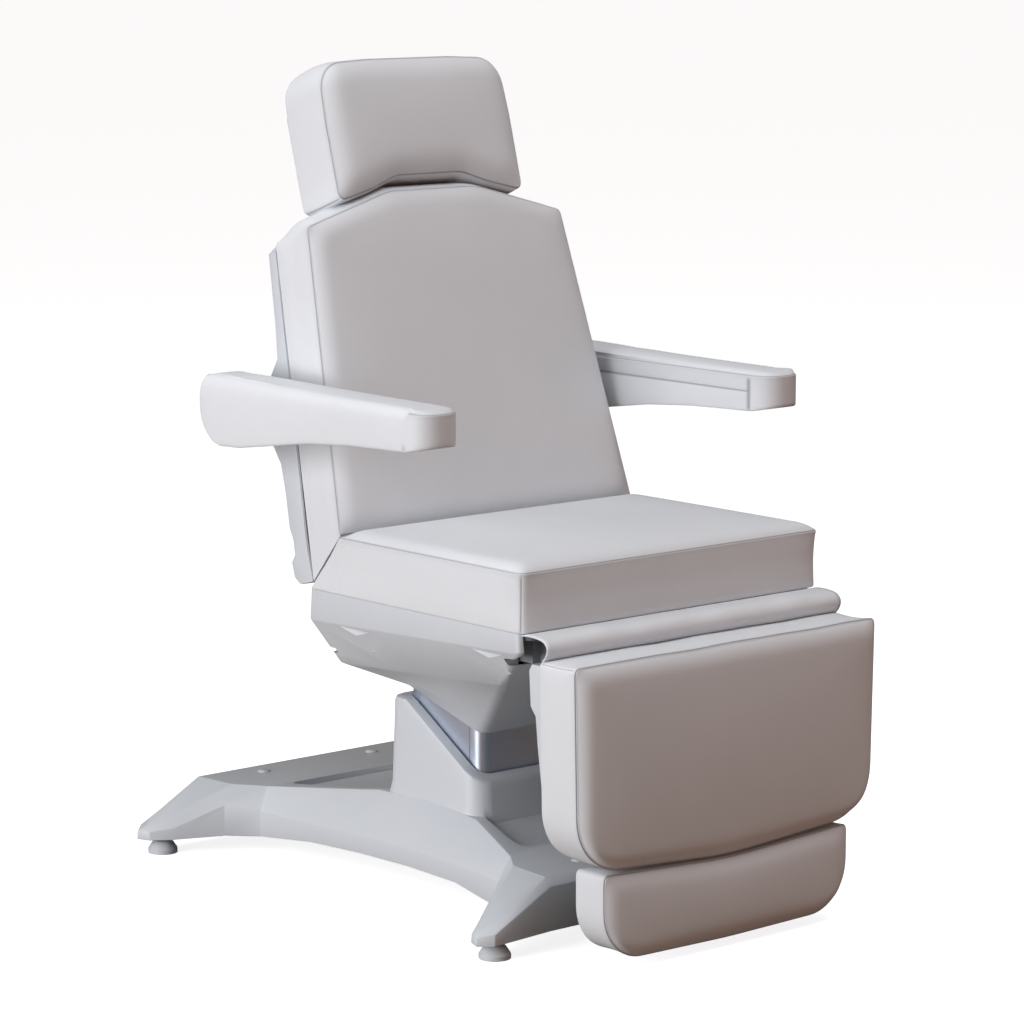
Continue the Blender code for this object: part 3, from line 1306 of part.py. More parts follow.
def parent_to_bodies():
    """Hang every piece on an empty that stands on its body's joint axis."""
    set_body_points()
    empties = {}
    for body, point in BODY_POINTS.items():
        empty = bpy.data.objects.new(f"axis_{body}", None)
        empty.location = point
        bpy.context.scene.collection.objects.link(empty)
        empties[body] = empty
    for name, body in BODY_OF.items():
        obj = bpy.data.objects[name]
        obj.data.transform(Matrix.Translation(-Vector(BODY_POINTS[body])))
        obj.parent = empties[body]


def main():
    """Build the whole chair."""
    clear_scene()
    build_base_cover()
    build_base_frame()
    build_feet()
    build_screw_caps()
    build_column()
    build_under_cover()
    build_seat_frame()
    build_seat_top()
    build_actuators()
    build_back_pad()
    build_back_shell()
    build_back_frame()
    build_headrest()
    build_armrests()
    build_legrest()
    build_foot_pad()
    build_flap()
    parent_to_bodies()


main()
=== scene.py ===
"""Finished looks of an electric treatment chair on a lifting column.

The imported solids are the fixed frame. The rigid ones are dressed with their finishes, and each
cushion is replaced by a sewn, padded piece that swells between its seams. Sizes are in metres:
the patient faces -Y, +X is the patient's left, and the floor is z = 0.
"""

import json
import logging
import math
from collections.abc import Callable, Sequence
from dataclasses import dataclass, field
from enum import Enum
from functools import cached_property
from typing import NamedTuple

import bmesh
import bpy
import numpy as np
from bpy.types import Material, Node, NodeSocket, NodeTree, Object
from mathutils import Matrix, Vector
from mathutils.bvhtree import BVHTree


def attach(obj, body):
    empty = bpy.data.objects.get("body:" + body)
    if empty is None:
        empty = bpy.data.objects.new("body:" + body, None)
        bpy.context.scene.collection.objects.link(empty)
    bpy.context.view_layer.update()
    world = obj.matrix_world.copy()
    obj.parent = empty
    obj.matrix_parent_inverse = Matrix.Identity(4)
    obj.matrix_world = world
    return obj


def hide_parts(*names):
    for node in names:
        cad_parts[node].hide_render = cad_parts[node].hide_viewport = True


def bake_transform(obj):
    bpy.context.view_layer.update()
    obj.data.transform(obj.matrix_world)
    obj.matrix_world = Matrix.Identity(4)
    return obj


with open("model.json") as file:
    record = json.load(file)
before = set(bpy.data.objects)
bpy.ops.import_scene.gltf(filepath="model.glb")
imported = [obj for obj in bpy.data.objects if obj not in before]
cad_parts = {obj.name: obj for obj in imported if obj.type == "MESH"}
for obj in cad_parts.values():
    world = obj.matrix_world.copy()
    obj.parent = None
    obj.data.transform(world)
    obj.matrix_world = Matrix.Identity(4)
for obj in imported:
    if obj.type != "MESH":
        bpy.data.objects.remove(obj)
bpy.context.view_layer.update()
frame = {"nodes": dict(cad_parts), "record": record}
LOG = logging.getLogger("treatment_chair")

Corner = tuple[float, float, float]
Point = tuple[float, float, float]
Place = Callable[[np.ndarray], np.ndarray]


def linear(hex_colour: str) -> tuple[float, float, float, float]:
    """Turn an sRGB hex colour into linear values.

    Args:
        hex_colour: Colour such as "#D9DADE".

    Returns:
        Linear red, green and blue with an alpha of 1.
    """
    parts = [int(hex_colour[k:k + 2], 16) / 255 for k in (1, 3, 5)]
    red, green, blue = (p / 12.92 if p <= 0.04045 else ((p + 0.055) / 1.055) ** 2.4 for p in parts)
    return (red, green, blue, 1.0)


def cells(millimetres: float) -> float:
    """Texture scale of a pattern whose cells measure this many millimetres."""
    return 1000.0 / millimetres


def add_object(name: str, data: bpy.types.ID) -> Object:
    """Make an object and link it to the scene.

    Args:
        name: Name of the object.
        data: What it shows.

    Returns:
        The object.
    """
    made = bpy.data.objects.new(name, data)
    bpy.context.scene.collection.objects.link(made)
    return made


def add_node(tree: NodeTree, kind: str, inputs: dict | None = None, **settings: object) -> Node:
    """Add a node, set its properties and fill or link its inputs.

    Args:
        tree: Tree that gets the node.
        kind: Blender's identifier of the node.
        inputs: Values or output sockets by the input's name or place.
        **settings: Properties of the node itself.

    Returns:
        The new node.
    """
    node = tree.nodes.new(kind)
    for name, value in settings.items():
        setattr(node, name, value)
    for name, value in (inputs or {}).items():
        if isinstance(value, NodeSocket):
            tree.links.new(value, node.inputs[name])
        else:
            node.inputs[name].default_value = value
    return node


@dataclass(frozen=True)
class Surface:
    """A material's tree, its shader and the object's coordinates."""

    tree: NodeTree
    shader: Node
    where: NodeSocket

    def add(self, kind: str, inputs: dict | None = None, **settings: object) -> Node:
        """Add a node to the material's tree."""
        return add_node(self.tree, kind, inputs, **settings)

    def link(self, socket: NodeSocket, name: str) -> None:
        """Link a socket to one of the shader's inputs."""
        self.tree.links.new(socket, self.shader.inputs[name])

    def noise(self, where: NodeSocket, size_mm: float, detail: float = 2.0) -> Node:
        """Add a noise whose patches measure this many millimetres."""
        given = {"Vector": where, "Scale": cells(size_mm), "Detail": detail}
        return self.add("ShaderNodeTexNoise", given)

    def mixed(self, share: NodeSocket, first: object, second: object) -> NodeSocket:
        """Return the mix of two colours."""
        mix = self.add("ShaderNodeMix", {0: share, 6: first, 7: second}, data_type="RGBA")
        return mix.outputs[2]


@dataclass(frozen=True)
class Finish:
    """A finish: its material's name, two close tones and its surface."""

    name: str
    tone: str
    shade: str
    roughness: float
    metallic: float = 0.0
    patch_mm: float = 70.0
    grain_mm: float = 1.0
    relief_mm: float = 0.05
    relief_share: float = 0.3
    gloss: float = 0.5
    wear: float = 0.1

    def material(self) -> Material:
        """Find the finish's material, or make it on its first use.

        Returns:
            The material.
        """
        made = bpy.data.materials.get(self.name)
        if made is None:
            made = bpy.data.materials.new(self.name)
            made.use_nodes = True
            tree = made.node_tree
            shader = tree.nodes["Principled BSDF"]
            shader.inputs["Metallic"].default_value = self.metallic
            shader.inputs["Specular IOR Level"].default_value = self.gloss
            where = add_node(tree, "ShaderNodeTexCoord").outputs["Object"]
            self.dress(Surface(tree, shader, where))
        return made

    def dress(self, on: Surface) -> None:
        """Link colour, roughness and relief.

        Args:
            on: Surface that gets the finish.
        """
        self.colour(on)
        bump = on.add("ShaderNodeBump", {"Height": self.grain(on), "Strength": self.relief_share,
                                         "Distance": self.relief_mm / 1000})
        on.link(bump.outputs["Normal"], "Normal")

    def colour(self, on: Surface) -> None:
        """Link slow patches of the two tones, and a roughness that follows them.

        Args:
            on: Surface that gets the finish.
        """
        patch = on.noise(on.where, self.patch_mm, 3.0).outputs["Fac"]
        on.link(on.mixed(patch, linear(self.tone), linear(self.shade)), "Base Color")
        worn = on.add("ShaderNodeMapRange", {
            "Value": patch, "From Min": 0.3, "From Max": 0.7,
            "To Min": self.roughness * (1 - self.wear), "To Max": self.roughness * (1 + self.wear)})
        on.link(worn.outputs[0], "Roughness")

    def grain(self, on: Surface) -> NodeSocket:
        """Return the height of the fine grain."""
        return on.noise(on.where, self.grain_mm).outputs["Fac"]


@dataclass(frozen=True)
class Leatherette(Finish):
    """Coated fabric: smooth pale film with an embossed hide grain, and painted shade in the seams.
    """

    # Colour of the painted shade that darkens the seams' grooves and their sides.
    painted_seam_shade: str = "#9EA1A7"

    def dress(self, on: Surface) -> None:
        """Add painted shade in the seams to the plain finish.

        Args:
            on: Surface that gets the finish.
        """
        super().dress(on)
        plain = on.shader.inputs["Base Color"].links[0].from_socket
        seam = on.add("ShaderNodeAttribute", attribute_name="seam")
        # Painted shade: the 'seam' marks mix the painted seam shade into the colour.
        on.link(on.mixed(seam.outputs["Fac"], plain, linear(self.painted_seam_shade)), "Base Color")

    def grain(self, on: Surface) -> NodeSocket:
        """Emboss cells, their lines bent by a little noise.

        Args:
            on: Surface that gets the finish.

        Returns:
            The height of the grain.
        """
        bend = on.noise(on.where, self.grain_mm * 3)
        moved = on.add("ShaderNodeVectorMath",
                       {0: bend.outputs["Color"], 1: (self.grain_mm / 1000,) * 3, 2: on.where},
                       operation="MULTIPLY_ADD")
        hide = on.add("ShaderNodeTexVoronoi",
                      {"Vector": moved.outputs[0], "Scale": cells(self.grain_mm)},
                      feature="SMOOTH_F1")
        return hide.outputs["Distance"]


@dataclass(frozen=True)
class DrawnProfile(Finish):
    """Extruded and anodised aluminium: satin, with fine lines along the draw."""

    line_mm: float = 1.6
    stretch: float = 0.01

    def grain(self, on: Surface) -> NodeSocket:
        """Return the height of lines that run up the profile."""
        along = on.add("ShaderNodeMapping", {"Vector": on.where, "Scale": (1.0, 1.0, self.stretch)})
        return on.noise(along.outputs[0], self.line_mm, 3.0).outputs["Fac"]


@dataclass(frozen=True)
class StudioFloor(Finish):
    """Matt paper floor: white to look at, and giving back only a little warm light."""

    bounce: str = "#7E6C5C"
    glow: float = 0.90

    def dress(self, on: Surface) -> None:
        """Keep the floor pale far from the lights, and its bounce weak.

        Args:
            on: Surface that gets the finish.
        """
        seen = on.add("ShaderNodeLightPath").outputs["Is Camera Ray"]
        on.link(on.mixed(seen, linear(self.bounce), linear(self.tone)), "Base Color")
        glow = on.add("ShaderNodeMath", {0: seen, 1: self.glow}, operation="MULTIPLY")
        on.link(glow.outputs[0], "Emission Strength")
        on.shader.inputs["Roughness"].default_value = self.roughness
        on.shader.inputs["Emission Color"].default_value = linear(self.tone)


# Coated fabric: a soft sheen over a fine grain. The grain is 1.8 mm, as coarse as it shows.
LEATHERETTE = Leatherette("leatherette_pale_grey", "#E2E5E9", "#DADEE2", 0.55, patch_mm=120,
                          grain_mm=1.8, relief_mm=0.10, relief_share=0.22, gloss=0.30)
# Injection-moulded ABS of the covers: off-white, with a fine even spark texture.
MOULDED_ABS = Finish("abs_moulded_white", "#D5DADF", "#CDD3D9", 0.46, patch_mm=160,
                     grain_mm=1.2, relief_mm=0.05, relief_share=0.18)
# Drawn and anodised aluminium: satin grey-blue, with lines 1.6 mm apart so that they show.
ANODISED = DrawnProfile("aluminium_anodised_satin", "#D9E1EF", "#CFD7E5", 0.42, metallic=1.0,
                        patch_mm=200, relief_mm=0.05, relief_share=0.25)
# Powder-coated steel: grey paint with an even orange peel.
PAINTED_STEEL = Finish("steel_powder_coated_grey", "#8D9299", "#858A91", 0.48, patch_mm=90,
                       grain_mm=1.6, relief_mm=0.08, relief_share=0.3)
# Film-faced plywood of the cushions' boards: a smooth grey resin film with a faint weave.
FILM_PLYWOOD = Finish("plywood_film_faced", "#8A9099", "#7F858E", 0.5, patch_mm=40,
                      grain_mm=1.4, relief_mm=0.06)
# Glass-filled nylon of glides, motors and housings: dull black with a fine spark texture.
BLACK_NYLON = Finish("nylon_black", "#26272A", "#2E2F33", 0.55, patch_mm=60, grain_mm=1.0,
                     relief_mm=0.06)
# Bonded polyester thread: a little darker than the fabric it sews.
THREAD = Finish("polyester_thread_grey", "#B9BBC1", "#AEB0B7", 0.6, patch_mm=12, grain_mm=0.4,
                relief_mm=0.05)
# Zinc-plated screws: bright, a little uneven.
ZINC = Finish("steel_zinc_plated", "#B8BCC2", "#A6ABB2", 0.32, metallic=1.0, patch_mm=6,
              grain_mm=0.5, relief_mm=0.03)
# Paper of the studio's floor: matt white.
PAPER = StudioFloor("floor_matt_white", "#F7F7F8", "#F5F5F6", 0.9)

SLOT_FINISH = {"upholstery": LEATHERETTE, "moulding": MOULDED_ABS, "steel": PAINTED_STEEL,
               "profile": ANODISED, "plywood": FILM_PLYWOOD, "polymer": BLACK_NYLON}


class Edge(Enum):
    """How a panel meets the boxing at its edge."""

    SEWN = "sewn"
    SOFT = "soft"


class Side(Enum):
    """The patient's side, as the sign of X."""

    LEFT = 1
    RIGHT = -1


def add_mesh(name: str, points: np.ndarray, faces: list[tuple[int, ...]]) -> Object:
    """Make a mesh object with outward faces.

    Args:
        name: Name of the object and its mesh.
        points: Vertex places.
        faces: Vertex numbers of each face.

    Returns:
        The object, linked to the scene.
    """
    mesh = bpy.data.meshes.new(name)
    mesh.from_pydata([tuple(p) for p in points], [], faces)
    work = bmesh.new()
    work.from_mesh(mesh)
    bmesh.ops.recalc_face_normals(work, faces=work.faces)
    work.to_mesh(mesh)
    work.free()
    mesh.shade_smooth()
    return add_object(name, mesh)


def run_of(path: np.ndarray) -> np.ndarray:
    """Length of a path up to each of its points."""
    return np.concatenate([[0.0], np.cumsum(np.linalg.norm(np.diff(path, axis=0), axis=1))])


def rounded_path(corners: Sequence[Corner], steps: int = 16) -> tuple[np.ndarray, list[int]]:
    """Round a polygon's corners.

    Args:
        corners: (u, v, radius) of each corner, anticlockwise.
        steps: Even number of pieces in each arc.

    Returns:
        The closed path's points, and the number of the middle point of each corner's arc.
    """
    points: list[np.ndarray] = []
    middles: list[int] = []
    for k, (u, v, radius) in enumerate(corners):
        here = np.array((u, v))
        before = np.array(corners[k - 1][:2]) - here
        after = np.array(corners[(k + 1) % len(corners)][:2]) - here
        before = before / np.linalg.norm(before)
        after = after / np.linalg.norm(after)
        half = math.acos(float(np.clip(before @ after, -1, 1))) / 2
        reach = radius / math.tan(half)
        towards = before + after
        centre = here + towards / np.linalg.norm(towards) * radius / math.sin(half)
        first = here + before * reach - centre
        last = here + after * reach - centre
        turn = math.atan2(first[0] * last[1] - first[1] * last[0], float(first @ last))
        middles.append(len(points) + steps // 2)
        for step in range(steps + 1):
            cos, sin = math.cos(turn * step / steps), math.sin(turn * step / steps)
            turned = (first[0] * cos - first[1] * sin, first[0] * sin + first[1] * cos)
            points.append(centre + turned)
    return np.array(points), middles


def resampled(path: np.ndarray, shares: np.ndarray) -> np.ndarray:
    """Points of a path at shares of its length."""
    run = run_of(path)
    return np.column_stack([np.interp(shares * run[-1], run, path[:, k]) for k in range(2)])


# Places of the points next to each end of a cushion's side, close together round its corner.
NEAR_END = np.array((0.0, 0.0018, 0.0045, 0.009, 0.015, 0.022))


def edge_shares(length: float, spacing: float) -> np.ndarray:
    """Shares of a side, close together near both its ends.

    Args:
        length: Length of the side.
        spacing: Distance between points away from the ends.

    Returns:
        Shares from 0 to 1.
    """
    far = NEAR_END[-1]
    count = max(4, round((length - 2 * far) / spacing))
    middle = np.linspace(far, length - far, count + 1)[1:-1]
    return np.concatenate([NEAR_END, middle, length - NEAR_END[::-1]]) / length


@dataclass(frozen=True)
class Ripple:
    """Two slow waves added up, so that the sum looks uneven."""

    height: float
    first: tuple[float, float]
    second: tuple[float, float]
    share: float

    def at(self, along: np.ndarray | float) -> np.ndarray | float:
        """Height of the ripple at places along it."""
        one, two = (np.sin(along * rate + phase) for rate, phase in (self.first, self.second))
        return self.height * (one + self.share * two) / (1 + self.share)


@dataclass
class Crease:
    """A fold pressed into the boxing between two points, with a low ridge on each side."""

    start: Point
    end: Point
    depth: float
    width: float
    ridge: float = 0.45
    ridge_away: float = 2.2

    def press(self, points: np.ndarray) -> np.ndarray:
        """Press the fold, fading at its ends.

        Args:
            points: Places on the boxing.

        Returns:
            How far each point goes in.
        """
        start, run = np.array(self.start), np.array(self.end) - np.array(self.start)
        share = (points - start) @ run / (run @ run)
        away = np.linalg.norm(points - start - np.clip(share, 0, 1)[:, None] * run, axis=1)
        fade = np.clip(1.15 - np.abs(share - 0.5) * 1.5, 0, 1)
        fold = np.exp(-(away / self.width) ** 2)
        beside = np.exp(-((away - self.ridge_away * self.width) / self.width) ** 2)
        return self.depth * fade * (fold - self.ridge * beside)


@dataclass
class Outline:
    """A cushion's closed outline of four sides, opposite ones with as many points."""

    loop: np.ndarray
    count: int
    across: int

    @cached_property
    def inward(self) -> np.ndarray:
        """Find the way into the outline.

        Returns:
            Direction inward at each point.
        """
        along = np.roll(self.loop, -1, axis=0) - np.roll(self.loop, 1, axis=0)
        along /= np.linalg.norm(along, axis=1)[:, None]
        return np.column_stack([-along[:, 1], along[:, 0]])

    @cached_property
    def rim(self) -> dict[tuple[int, int], int]:
        """Number the grid places that are on the outline.

        Returns:
            Number on the outline by place.
        """
        count, across = self.count, self.across
        places = ([(k, 0) for k in range(count)] + [(count, k) for k in range(across)]
                  + [(count - k, across) for k in range(count)]
                  + [(0, across - k) for k in range(across)])
        return {place: k for k, place in enumerate(places)}

    def ring(self, inset: np.ndarray, depth: np.ndarray) -> np.ndarray:
        """Points (u, v, depth) that lie this far inside the outline."""
        return np.column_stack([self.loop + self.inward * inset[:, None], depth])

    def filled(self, edge: np.ndarray) -> np.ndarray:
        """Fill a ring with a grid that follows its four sides.

        Args:
            edge: The ring.

        Returns:
            Points by place on the first and second side.
        """
        count, across = self.count, self.across
        ring = np.vstack([edge, edge[:1]])
        right, top = ring[:count + 1], ring[count:count + across + 1]
        left = ring[count + across:2 * count + across + 1][::-1]
        foot = ring[2 * count + across:][::-1]
        a = (run_of(right) / run_of(right)[-1])[:, None, None]
        b = (run_of(top) / run_of(top)[-1])[None, :, None]
        sides = (1 - b) * right[:, None] + b * left[:, None] + (1 - a) * foot[None] + a * top[None]
        return (sides - (1 - a) * (1 - b) * right[0] - a * (1 - b) * right[-1]
                - a * b * left[-1] - (1 - a) * b * left[0])


@dataclass
class Cover:
    """Points, seam marks (shares of painted shade), pins and faces of a cover while it is drawn."""

    points: list[np.ndarray] = field(default_factory=list)
    seam: list[np.ndarray] = field(default_factory=list)
    pinned: list[np.ndarray] = field(default_factory=list)
    faces: list[tuple[int, ...]] = field(default_factory=list)

    def add(self, points: np.ndarray, seam: np.ndarray, pinned: np.ndarray) -> None:
        """Add points with their seam marks and pins.

        Args:
            points: Their places.
            seam: Share of painted shade, 1 on a seam, 0 away from it.
            pinned: 1 where the cover is held, 0 where it is free to swell.
        """
        self.points.append(points)
        self.seam.append(seam)
        self.pinned.append(pinned)

    def size(self) -> int:
        """Number of points so far."""
        return sum(len(part) for part in self.points)

    def join_rings(self, total: int) -> None:
        """Join each ring to the next.

        Args:
            total: Points in each ring.
        """
        for start in range(0, self.size() - total, total):
            for k in range(total):
                n = (k + 1) % total
                self.faces.append((start + k, start + n, start + total + n, start + total + k))

    def made(self, name: str) -> Object:
        """Make the cover's object.

        Args:
            name: Name of the cushion.

        Returns:
            The cover, with its seams marked for painted shade and its pinned points in a group.
        """
        made = add_mesh(name, np.vstack(self.points), self.faces)
        # The 'seam' attribute carries the painted shade of the leatherette's seams.
        layer = made.data.attributes.new("seam", "FLOAT", "POINT")
        layer.data.foreach_set("value", np.concatenate(self.seam))
        group = made.vertex_groups.new(name=PIN_GROUP)
        for vertex, weight in enumerate(np.concatenate(self.pinned)):
            if weight > 0:
                group.add([vertex], float(weight), "REPLACE")
        made.data.materials.append(LEATHERETTE.material())
        return made


class EdgeRing(NamedTuple):
    """One ring of a sewn edge, as shares of its radius, its rise, its groove and its painted shade.
    """

    inset: float
    depth: float
    groove: float
    shade: float


# A quarter round in four steps, with the seam's groove in the middle and a low ridge beside it; the
# last column is the share of painted shade.
EDGE_RINGS = (EdgeRing(0.617, 0.924, -0.1, 0.3), EdgeRing(0.293, 0.707, 1.0, 1.0),
              EdgeRing(0.076, 0.383, -0.1, 0.3))
# How much of its pull the boxing shows, by its share of the way from the edge to the rear.
BOXING_PULL = ((0, 0.03, 0.18, 0.5, 0.82, 1), (0, 0, 0.6, 1, 0.75, 0.5))
# Inset of the two rings that round the rear's edge, and the height of the first above the boxing.
REAR_INSETS = (0.0006, 0.0022)
REAR_STEP = 0.0030
PIN_GROUP = "sewn"


@dataclass
class Cushion:
    """A boxed cushion: a crowned panel, a sewn edge, boxing that pulls in, and a flat rear.

    The outline lies in (u, v), and depth runs from the panel's seam to the rear.
    """

    name: str
    node: str
    body: str
    corners: Sequence[Corner]
    hangs_on: tuple[int, int, int, int]
    thick: float
    crown: float
    draw_in: float
    place: Place
    shoulder: float = 0.011
    shoulder_width: float = 0.034
    bulge: dict[int, float] = field(default_factory=dict)
    spacing: float = 0.008
    row_height: float = 0.009
    rear_round: float = 0.004
    edge_radius: float = 0.0032
    seam_depth: float = 0.0014
    corner_seams: tuple[int, ...] = ()
    held_sides: tuple[int, ...] = ()
    creases: tuple[Crease, ...] = ()
    swell_cap: float = 0.004
    fill: float = 0.85
    seam_lines: list[np.ndarray] = field(default_factory=list)
    turns: tuple[int, ...] = ()

    def edge_of(self, loop: np.ndarray) -> tuple[np.ndarray, np.ndarray]:
        """Edge radius, and 1 where it is sewn, at each point of the outline."""
        return np.full(len(loop), self.edge_radius), np.ones(len(loop))

    def edges_of(self) -> tuple[Edge, Edge, Edge, Edge]:
        """How the panel meets its four sides: foot, top, right and left."""
        return (Edge.SEWN,) * 4

    def rows_of(self, radius: np.ndarray, loop: np.ndarray) -> list[np.ndarray]:
        """Space the boxing's rows, from below the edge to the rear.

        Args:
            radius: Edge radius at each point of the outline.
            loop: The outline; not used here.

        Returns:
            Depth of each row at each point of the outline.
        """
        count = max(4, round(self.thick / self.row_height))
        low = self.thick - self.rear_round
        return [radius + (low - radius) * k / count for k in range(1, count + 1)]

    def boxing_seams(self, loop: np.ndarray, rows: int) -> np.ndarray:
        """Mark the seams that run in the boxing, for their groove, pins and painted shade.

        Args:
            loop: The outline.
            rows: Number of rows in the boxing.

        Returns:
            1 on a seam (its share of painted shade), by row and outline point.
        """
        mark = np.zeros((rows, len(loop)))
        for corner in self.corner_seams:
            mark[:, self.turns[corner]] = 1.0
        return mark

    def shift(self, loop: np.ndarray) -> np.ndarray:
        """Small unevenness of the sewn outline."""
        return loop

    def outline(self) -> Outline:
        """Sample the outline so that opposite sides have as many points.

        Returns:
            The closed outline.
        """
        path, middles = rounded_path(self.corners)
        closed = np.vstack([path, path])
        sides = []
        for k in range(4):
            first, last = middles[self.hangs_on[k]], middles[self.hangs_on[(k + 1) % 4]]
            sides.append(closed[first:(last if last > first else last + len(path)) + 1])
        lengths = [float(run_of(side)[-1]) for side in sides]
        shares = [edge_shares(max(lengths[k], lengths[k + 2]), self.spacing) for k in range(2)]
        parts = [resampled(side, shares[k % 2])[:-1] for k, side in enumerate(sides)]
        count, across = len(shares[0]) - 1, len(shares[1]) - 1
        self.turns = (0, count, count + across, 2 * count + across)
        return Outline(self.shift(np.vstack(parts)), count, across)

    def build(self) -> Object:
        """Make the cushion's cover before it swells.

        Returns:
            The closed cover.
        """
        outline, cover = self.outline(), Cover()
        radius, sewn = self.edge_of(outline.loop)
        total = len(outline.loop)
        ones = np.ones(total)
        lift = np.where(sewn > 0, 0.0, 1.0) * self.shoulder
        lift = np.convolve(np.concatenate([lift[-3:], lift, lift[:3]]), np.ones(7) / 7, "valid")
        self.add_edge(cover, outline, radius, sewn, lift)
        self.add_boxing(cover, outline, radius)
        rear = self.draw_in * BOXING_PULL[1][-1] * ones + REAR_INSETS[1]
        cover.join_rings(total)
        last_ring = cover.size() - total
        self.add_panel(cover, outline, outline.ring(radius, -lift), 0, True)
        self.add_panel(cover, outline, outline.ring(rear, ones * self.thick), last_ring, False)
        return cover.made(self.name)

    def add_edge(self, cover: Cover, outline: Outline, radius: np.ndarray, sewn: np.ndarray,
                 lift: np.ndarray) -> None:
        """Round the panel's edge, with a groove and painted shade where it is sewn.

        Args:
            cover: Cover that gets the rings.
            outline: The cushion's outline.
            radius: Edge radius at each point.
            sewn: 1 where the edge is sewn.
            lift: How far a soft edge rises above the seam.
        """
        ones = np.ones(len(radius))
        groove = sewn * self.seam_depth
        # The second values are painted shade, darkest in the groove and fading to each side.
        cover.add(self.place(outline.ring(radius, -lift)), sewn * 0.15, ones)
        for step in EDGE_RINGS:
            ring = outline.ring(radius * step.inset + groove * step.groove,
                                radius - (radius + lift) * step.depth + groove * step.groove)
            cover.add(self.place(ring), sewn * step.shade, ones)
            if step.groove > 0:
                self.seam_lines.append(cover.points[-1][sewn > 0])
        cover.add(self.place(outline.ring(radius * 0.0, radius)), sewn * 0.1, sewn)

    def add_boxing(self, cover: Cover, outline: Outline, radius: np.ndarray) -> None:
        """Draw the boxing in between the edge and the rear, with its seams, bulges and folds.

        Args:
            cover: Cover that gets the rings.
            outline: The cushion's outline.
            radius: Edge radius at each point.
        """
        loop = outline.loop
        ones, none = np.ones(len(loop)), np.zeros(len(loop))
        rows = self.rows_of(radius, loop)
        held, outward = none.copy(), none.copy()
        ends = (*self.turns, len(loop))
        for side in self.held_sides:
            held[ends[side]:ends[side + 1] + 1] = 1.0
        for side, most in self.bulge.items():
            run = run_of(loop[ends[side]:ends[side + 1]])
            fade = np.clip(np.minimum(run, run[-1] - run) / NEAR_END[-1], 0, 1)
            outward[ends[side]:ends[side + 1]] = most * fade
        for depth, mark in zip(rows, self.boxing_seams(loop, len(rows))):
            pull = np.interp(depth / self.thick, *BOXING_PULL)
            inset = self.draw_in * pull + mark * self.seam_depth * 0.9
            inset = inset - outward * np.sin(math.pi * np.clip(depth / self.thick, 0, 1))
            flat = self.place(outline.ring(inset, depth))
            folded = sum((crease.press(flat) for crease in self.creases), none)
            pinned = np.maximum.reduce([mark, held, np.sign(np.abs(folded).round(4))])
            # mark gives the seams their painted shade, as well as their groove and pins.
            cover.add(self.place(outline.ring(inset + folded, depth)), mark, pinned)
        cover.pinned[-1] = ones
        rear = self.draw_in * BOXING_PULL[1][-1] * ones
        for inset, depth in zip(REAR_INSETS, (rows[-1] + REAR_STEP, ones * self.thick)):
            cover.add(self.place(outline.ring(rear + inset, depth)), none, ones)

    def add_panel(self, cover: Cover, outline: Outline, edge: np.ndarray, base: int,
                  front: bool) -> None:
        """Fill the front panel or the rear of the cover.

        Args:
            cover: Cover that gets the panel.
            outline: The cushion's outline.
            edge: Outline of this panel in (u, v, depth).
            base: Number of the first point on the ring that the panel closes.
            front: True for the crowned panel, False for the flat rear.
        """
        grid = outline.filled(edge)
        count, across = outline.count, outline.across
        start = cover.size()
        inner = grid[1:-1, 1:-1].reshape(-1, 3)
        free = np.zeros(len(inner))
        if front:
            inner[:, 2], free = self.raised(grid)
        cover.add(self.place(inner), np.zeros(len(inner)), 1 - free)
        number = np.empty((count + 1, across + 1), int)
        number[1:-1, 1:-1] = start + np.arange(len(inner)).reshape(count - 1, across - 1)
        for place, k in outline.rim.items():
            number[place] = base + k
        for a in range(count):
            for b in range(across):
                quad = (number[a, b], number[a + 1, b], number[a + 1, b + 1], number[a, b + 1])
                cover.faces.append(tuple(int(k) for k in quad))

    def raised(self, grid: np.ndarray) -> tuple[np.ndarray, np.ndarray]:
        """Raise the panel: a round shoulder inside each seam, and a slow crown between them.

        Args:
            grid: The panel's points in (u, v, depth), flat between its edges.

        Returns:
            Depth of each inner point, and 1 where the cover is free to swell.
        """
        foot, top, right, left = self.edges_of()
        along = self.reach(grid[:, :, :2].transpose(1, 0, 2), foot, top).transpose(0, 2, 1)
        across = self.reach(grid[:, :, :2], right, left)
        slow = [np.sin(np.clip(part[1], 0, 1) * math.pi / 2) for part in (along, across)]
        below = self.shoulder + grid[:, :, 2]
        depth = grid[:, :, 2] - below * along[0] * across[0] - self.crown * slow[0] * slow[1]
        free = (along[0] > 0.999) & (across[0] > 0.999)
        return depth[1:-1, 1:-1].reshape(-1), free[1:-1, 1:-1].reshape(-1).astype(float)

    def reach(self, lines: np.ndarray, start: Edge, end: Edge) -> np.ndarray:
        """Shoulder share and place on the crown along each line across the panel.

        Args:
            lines: Lines of points in (u, v).
            start: How the panel meets the side where the lines start.
            end: How it meets the side where they end.

        Returns:
            The shoulder's share, and the share of the way to the middle.
        """
        run = np.array([run_of(line) for line in lines])
        rest = run[:, -1:] - run
        share = np.ones(run.shape)
        for away, edge in ((run, start), (rest, end)):
            if edge is Edge.SEWN:
                near = np.clip(away / self.shoulder_width, 0, 1)
                share = share * (1 - (1 - near) ** 3)
        return np.array([share, np.minimum(run, rest) / (run[:, -1:] / 2)])

    def dress(self, cover: Object) -> None:
        """Set the swollen cover on its body in place of the solid.

        Args:
            cover: The cushion's cover.
        """
        cover.vertex_groups.clear()
        finer = cover.modifiers.new("fuller", "SUBSURF")
        finer.levels = finer.render_levels = 1
        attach(cover, self.body)
        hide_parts(self.node)
        LOG.info("%s stands for %s on %s", self.name, self.node, self.body)


